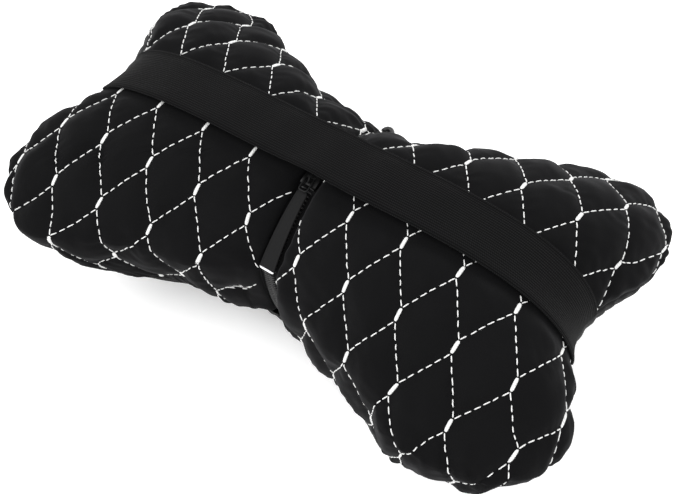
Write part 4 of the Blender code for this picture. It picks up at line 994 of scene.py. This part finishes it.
# the elastic's second colour is painted highlight, put on the crests of its ribs; the hollows keep the
# near-black first colour
ELASTIC = ribbed("elastic_black", (0.0006, 0.0006, 0.0007), (0.0068, 0.0068, 0.0071), 0.8,
                 0.00120, 0.0009, 0.00030, Sheen_Weight=0.02, Sheen_Roughness=0.5, Specular_IOR_Level=0.06)
strap, strap_length = elastic()
strap.data.materials.append(ELASTIC)
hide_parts("elastic_band")
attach(strap, "cushion")


# Zip. Two woven tapes sewn behind the folds, each with a nylon coil along its edge whose
# loops lock with the other's. The folds of the back cover the tapes' outer parts.

COIL_HALF_WIDTH = 0.0033
COIL_HEIGHT = 0.0016
TOOTH_PITCH = 0.0019
TOOTH_WIRE = 0.00036
TAPE_THICKNESS = 0.0006
TAPE_WIDTH = 0.0120
COIL_SPREAD = 0.0006
SOFT_GAP = 0.0005
GAP = 0.0003
SLIDER_Y = -0.0095
SLIDER_LENGTH = 0.0095


def tape_top(x, w):
    """Depth of the tapes' upper face, which lies against the folds of the back."""
    flat_x = np.maximum(np.abs(x), ZIP_OPENING_HALF)
    return valley(flat_x, w) + PANEL_THICKNESS + SOFT_GAP


def zip_line(count):
    """Points on the tapes along the zip at even lengths, the way along and the way out."""
    v = np.linspace(-0.995, 0.995, 1201)
    w, phi = back_place(0 * v, v)
    points = sunk(w, phi, tape_top(0, w))
    run = np.append(0, np.cumsum(np.linalg.norm(np.diff(points, axis=0), axis=1)))
    at = np.linspace(0, run[-1], count)
    line = np.stack([np.interp(at, run, points[:, k]) for k in range(3)], -1)
    line[:, 0] = 0
    along = unit(np.gradient(line, axis=0))
    out = np.cross(np.array([1.0, 0, 0]), along)
    return line, along, out, run[-1]


def woven_tape(name, side):
    """Tape of one side: a thin strip behind the fold, from under the coil outwards."""
    v = np.linspace(-0.995, 0.995, 201)
    x = side * np.linspace(0.0004, TAPE_WIDTH, 13)
    u = np.stack([column_at(place, v) for place in x])
    w, phi = back_place(u, v + 0 * u)
    depth = tape_top(x[:, None], w)
    top, low = sunk(w, phi, depth), sunk(w, phi, depth + TAPE_THICKNESS)
    run = v[None, :] * 0.09 + 0 * u
    uv = np.stack([x[:, None] + 0 * u, run], -1)
    return shell_piece(name, top, low, 1, side < 0, uv, uv)


def zip_teeth(name, side):
    """Coil of one side: every loop rises from the tape, crosses the middle and turns down,
    half a pitch from the loops of the other side. Loops spread where the slider parts them."""
    length = zip_line(2)[3]
    count = int(length / TOOTH_PITCH)
    line, along, out, _ = zip_line(2 * count + 1)
    pick = slice(0, 2 * count, 2) if side > 0 else slice(1, 2 * count + 1, 2)
    line, along, out = line[pick], along[pick], out[pick]
    spread = COIL_SPREAD * np.exp(-((line[:, 1] - SLIDER_Y) / (SLIDER_LENGTH / 2))**4)
    across = np.array([1.0, 0.97, 0.80, 0.45, 0.12, -0.08, -0.12, -0.02]) * (COIL_HALF_WIDTH - TOOTH_WIRE)
    up = np.array([0.10, 0.52, 0.78, 0.80, 0.72, 0.50, 0.28, 0.12]) * COIL_HEIGHT
    spine = line[:, None] + out[:, None] * up[None, :, None]
    x = across[None, :] + spread[:, None]
    spine = spine + np.stack([side * x, 0 * x, 0 * x], -1)
    slant = along[:, None] * (np.linspace(-0.10, 0.10, len(up)) * TOOTH_PITCH)[None, :, None]
    normal = np.broadcast_to(along[:, None], spine.shape)
    points, faces = tubes(spine + slant, normal, np.full((1, len(up)), TOOTH_WIRE), 6)
    return outward(make_piece(name, points, faces))


def moulded(name, colour, roughness, grain, depth, **fixed):
    """Smooth moulding with a fine grain in its surface and its gloss."""
    made, tree, shader = new_finish(name, colour, roughness, **fixed)
    place = shader_node(tree, "ShaderNodeTexCoord")
    speck = shader_node(tree, "ShaderNodeTexNoise", {"Scale": grain, "Detail": 4})
    gloss = shader_node(tree, "ShaderNodeMapRange", {"To Min": roughness - 0.10, "To Max": roughness + 0.12})
    join(tree, (place, "Object", speck, "Vector"), (speck, "Fac", gloss, "Value"),
         (gloss, "Result", shader, "Roughness"))
    emboss(tree, shader, speck, "Fac", depth, 0.5)
    return made


NYLON = moulded("nylon_black", (0.012, 0.012, 0.0125), 0.35, 900, 0.00005)
TAPE = napped("tape_black", (0.003, 0.003, 0.0032), (0.007, 0.007, 0.0075), 0.85, 1200, 200, 0.0001,
              Specular_IOR_Level=0.1)
for name, side, node in (("zip_teeth_left", -1, "zip_coil_left"), ("zip_teeth_right", 1, "zip_coil_right")):
    teeth = zip_teeth(name, side)
    teeth.data.materials.append(NYLON)
    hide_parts(node)
    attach(teeth, "cushion")
for name, side, node in (("tape_left", -1, "zip_tape_left"), ("tape_right", 1, "zip_tape_right")):
    tape = woven_tape(name, side)
    tape.data.materials.append(TAPE)
    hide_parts(node)
    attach(tape, "cushion")


# Slider. A die-cast slider in black enamel that runs on the coils, with flanged plates and a
# bridge on its back. It is the frame's own, with its edges rounded as casting leaves them.

def rounded_copy(name, node, width, segments):
    """Copy of a CAD node, merged, with its edges bevelled."""
    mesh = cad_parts[node].data.copy()
    mesh.name = name
    work = bmesh.new()
    work.from_mesh(mesh)
    bmesh.ops.remove_doubles(work, verts=work.verts, dist=1e-6)
    bmesh.ops.dissolve_limit(work, angle_limit=0.02, verts=work.verts, edges=work.edges)
    work.to_mesh(mesh)
    work.free()
    mesh.materials.clear()
    piece = bpy.data.objects.new(name, mesh)
    bpy.context.scene.collection.objects.link(piece)
    bevel = piece.modifiers.new("edges", "BEVEL")
    bevel.width = width
    bevel.segments = segments
    bevel.limit_method = "ANGLE"
    mesh.shade_smooth()
    return piece


ENAMEL = moulded("enamel_black", (0.003, 0.003, 0.0032), 0.42, 400, 0.00003, Specular_IOR_Level=0.2)
slider = rounded_copy("slider_body", "zip_slider", 0.00018, 2)
slider.data.materials.append(ENAMEL)
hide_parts("zip_slider")
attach(slider, "cushion")


# Pull. A wire link through the slider's bridge carries a long rubber tab, moulded with a
# raised rim round a bare panel. The tab lies along the zip, and across its end lies a thin bright silvery
# strip: painted reflection, standing in for the line of light that the tab's end reflects.

LINK_WIRE = 0.0005
LINK_HALF_WIDTH = 0.0022
LINK_LENGTH = 0.0062
SLIDER_PLATE = 0.0009
TAB_LENGTH = 0.0425
TAB_WIDTH = 0.0084
TAB_TOP_WIDTH = 0.0056
TAB_THICKNESS = 0.0016
TAB_CORNER = 0.0022
RIM_WIDTH = 0.0007
PANEL_SUNK = 0.00022
TAB_EDGE = 0.0006


def tab_path(start, lengths, lift):
    """Points along the zip towards its near end, at lengths from the start and lifted over
    the slider's top, with the way along and the way out."""
    v = np.linspace(1, -1, 2401)
    w, phi = back_place(0 * v, v)
    depth = tape_top(0, w) - 2 * GAP - COIL_HEIGHT - SLIDER_PLATE - lift
    points = sunk(w, phi, depth)
    points[:, 0] = 0
    run = np.append(0, np.cumsum(np.linalg.norm(np.diff(points, axis=0), axis=1)))
    begin = np.interp(-start, -points[:, 1], run)
    line = np.stack([np.interp(begin + lengths, run, points[:, k]) for k in range(3)], -1)
    along = unit(np.stack([np.interp(begin + lengths, run, np.gradient(points[:, k])) for k in range(3)], -1))
    out = np.cross(along, np.array([1.0, 0, 0]))
    return line, along, out * np.sign(out[:, 2:3])


def tab_surface(name, first, last, grow, rows):
    """Closed strip along the tab's path from first to last, in parts of its length: a
    flattened oval section, drawn in round the corners at both ends."""
    at = first + (last - first) * (1 - np.cos(np.linspace(0, np.pi, rows + 1))) / 2
    lengths = LINK_LENGTH + GAP + TAB_LENGTH * at
    spine, _, out = tab_path(SLIDER_Y, lengths, TAB_THICKNESS / 2 - SLIDER_PLATE)
    from_end = np.minimum(at, 1 - at) * TAB_LENGTH
    inset = TAB_CORNER - np.sqrt(np.maximum(TAB_CORNER**2 - np.maximum(TAB_CORNER - from_end, 0)**2, 0))
    half = (TAB_TOP_WIDTH + (TAB_WIDTH - TAB_TOP_WIDTH) * at) / 2 - inset + grow
    turn = np.linspace(0, 2 * np.pi, 57)[:-1]
    flat_x = np.sign(np.cos(turn)) * np.abs(np.cos(turn))**0.55
    flat_z = np.sign(np.sin(turn)) * np.abs(np.sin(turn))**0.30
    thin = np.sqrt(np.clip(1 - np.clip(1 - from_end / TAB_EDGE, 0, 1)**2, 0.05, 1))
    x = half[:, None] * flat_x
    z = (TAB_THICKNESS / 2 + grow) * flat_z * thin[:, None]
    rim = np.minimum(half[:, None] - np.abs(x), (np.minimum(at, 1 - at) * TAB_LENGTH)[:, None])
    sunk_in = smooth((rim - RIM_WIDTH) / 0.0003) * (flat_z > 0.9) * (grow == 0)
    z = z - PANEL_SUNK * sunk_in
    points = spine[:, None] + out[:, None] * z[..., None]
    points[..., 0] += x
    faces = grid_quads(rows, len(turn), closed_v=True)
    size = len(turn)
    faces += [tuple(range(size)), tuple(rows * size + k for k in range(size))]
    return outward(make_piece(name, points, faces))


def link_ring():
    """Wire link: a round wire along a rounded rectangle through the bridge and the tab."""
    start, along, out = tab_path(SLIDER_Y, np.array([0.0]), GAP + TAB_THICKNESS / 2)
    turn = np.linspace(0, 2 * np.pi, 65)[:-1]
    x = LINK_HALF_WIDTH * np.sign(np.cos(turn)) * np.abs(np.cos(turn))**0.35
    reach = LINK_LENGTH / 2 + 0.0008
    back = -LINK_LENGTH / 2 - 0.0008 + reach * np.sign(np.sin(turn)) * np.abs(np.sin(turn))**0.35
    spine = start[0] - along[0] * back[:, None]
    spine[:, 0] += x
    way = unit(np.roll(spine, -1, axis=0) - np.roll(spine, 1, axis=0))
    beside = np.cross(way, out[0])
    ring = np.linspace(0, 2 * np.pi, 11)[:-1]
    circle = np.cos(ring)[:, None] * beside[:, None] + np.sin(ring)[:, None] * out[0]
    points = spine[:, None] + LINK_WIRE * circle
    closed = np.concatenate([points, points[:1]])
    faces = grid_quads(len(closed) - 1, len(ring), closed_v=True)
    return outward(make_piece("pull_wire", closed, faces))


RUBBER = moulded("rubber_black", (0.007, 0.007, 0.0073), 0.68, 1400, 0.00008, Specular_IOR_Level=0.12)
# painted reflection: a bright silvery strip across the tab's end stands in for the line of light that the end
# reflects
REFLECTION_SILVER = moulded("painted_reflection_strip", (0.75, 0.75, 0.76), 0.35, 600, 0.00002, Metallic=0.6)
tab = tab_surface("tab_rubber", 0.0, 1.0, 0.0, 90)
tab.data.materials.append(RUBBER)
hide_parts("pull_tab")
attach(tab, "pull")
# the strip that carries the painted reflection at the tab's end
strip = tab_surface("tab_end_reflection", 0.965, 0.985, 0.00012, 8)
strip.data.materials.append(REFLECTION_SILVER)
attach(strip, "pull")
wire = link_ring()
wire.data.materials.append(ENAMEL)
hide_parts("pull_link")
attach(wire, "pull")


# Zip end. The tape and coil are folded back on themselves and sewn down in the far seam,
# where the fold stands out as a small rounded loop.

LOOP_RADIUS, LOOP_WIRE = 0.0019, 0.0011
LOOP_HALF_DEPTH = 0.0016


def folded_end():
    """Loop of the folded coil: a half ring with a rounded section, closed below."""
    phi = np.array([QUARTER_TURN])
    w = seam_place(phi)
    out = body_normal(w, phi)[0]
    base = body(w, phi)[0]
    side = np.array([1.0, 0, 0])
    depth = np.cross(out, side)
    a, b = np.meshgrid(np.linspace(-1, 1, 33), np.linspace(0, 2 * np.pi, 25)[:-1], indexing="ij")
    swing = a * np.pi * 0.5
    ring = LOOP_RADIUS + LOOP_WIRE * np.cos(b)
    x = np.sin(swing) * ring * 1.25
    z = np.cos(swing) * ring * 1.35 + LOOP_WIRE
    y = LOOP_HALF_DEPTH * np.sin(b)
    points = base + side * x[..., None] + out * z[..., None] + depth * y[..., None]
    size = b.shape[1]
    faces = grid_quads(32, size, closed_v=True)
    faces += [tuple(range(size)), tuple(32 * size + k for k in range(size))]
    return outward(make_piece("zip_end_fold", points, faces))


fold = folded_end()
fold.data.materials.append(NYLON)
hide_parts("zip_tail")
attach(fold, "cushion")


# Stage. A plain pale floor under soft studio lights, and the photograph's viewpoint.

EYE_DISTANCE = 0.4926
EYE_AZIMUTH = 36.2
EYE_HEIGHT = 52.8
ROLL = -0.035
LENS = 53.6
SHIFT = (0.0181, -0.0594)


def studio():
    """Floor, lights and camera."""
    scene = bpy.context.scene
    mesh = bpy.data.meshes.new("floor")
    mesh.from_pydata([(-6, -6, 0), (6, -6, 0), (6, 6, 0), (-6, 6, 0)], [], [(0, 1, 2, 3)])
    floor = bpy.data.objects.new("floor", mesh)
    paint, _, shader = new_finish("floor_white", (0.97, 0.97, 0.97), 0.9)
    shader.inputs["Emission Color"].default_value = (1, 1, 1, 1)
    shader.inputs["Emission Strength"].default_value = 0.22
    mesh.materials.append(paint)
    scene.collection.objects.link(floor)
    world = bpy.data.worlds.new("studio")
    scene.world = world
    world.use_nodes = True
    ground = world.node_tree.nodes["Background"]
    ground.inputs["Color"].default_value = (1, 1, 1, 1)
    ground.inputs["Strength"].default_value = 1.15
    for label, place, size, power in (
            ("key", (-0.9, -0.5, 1.3), 1.1, 14), ("rim", (0.5, 1.3, 0.9), 1.2, 9),
            ("fill", (1.0, -1.0, 0.9), 1.4, 6)):
        data = bpy.data.lights.new(label, "AREA")
        data.shape = "DISK"
        data.size = size
        data.energy = power
        light = bpy.data.objects.new(label, data)
        light.location = place
        light.rotation_euler = (-Vector(place) + Vector((0, 0, 0.05))).to_track_quat("-Z", "Y").to_euler()
        scene.collection.objects.link(light)
    az, el = np.radians(EYE_AZIMUTH), np.radians(EYE_HEIGHT)
    back = Vector((np.sin(az) * np.cos(el), -np.cos(az) * np.cos(el), np.sin(el)))
    right = Vector((np.cos(az), np.sin(az), 0))
    up = back.cross(right)
    c, s = np.cos(ROLL), np.sin(ROLL)
    turned_right, turned_up = right * c + up * s, up * c - right * s
    data = bpy.data.cameras.new("camera")
    data.lens = LENS
    data.sensor_width = 36
    data.shift_x, data.shift_y = SHIFT
    camera = bpy.data.objects.new("camera", data)
    pose = Matrix((turned_right, turned_up, back)).transposed().to_4x4()
    pose.translation = Vector(SHAPE_MIDDLE.tolist()) + Vector((0, 0, FLOOR)) + back * EYE_DISTANCE
    camera.matrix_world = pose
    scene.collection.objects.link(camera)
    scene.camera = camera
    scene.view_settings.view_transform = "Standard"


studio()
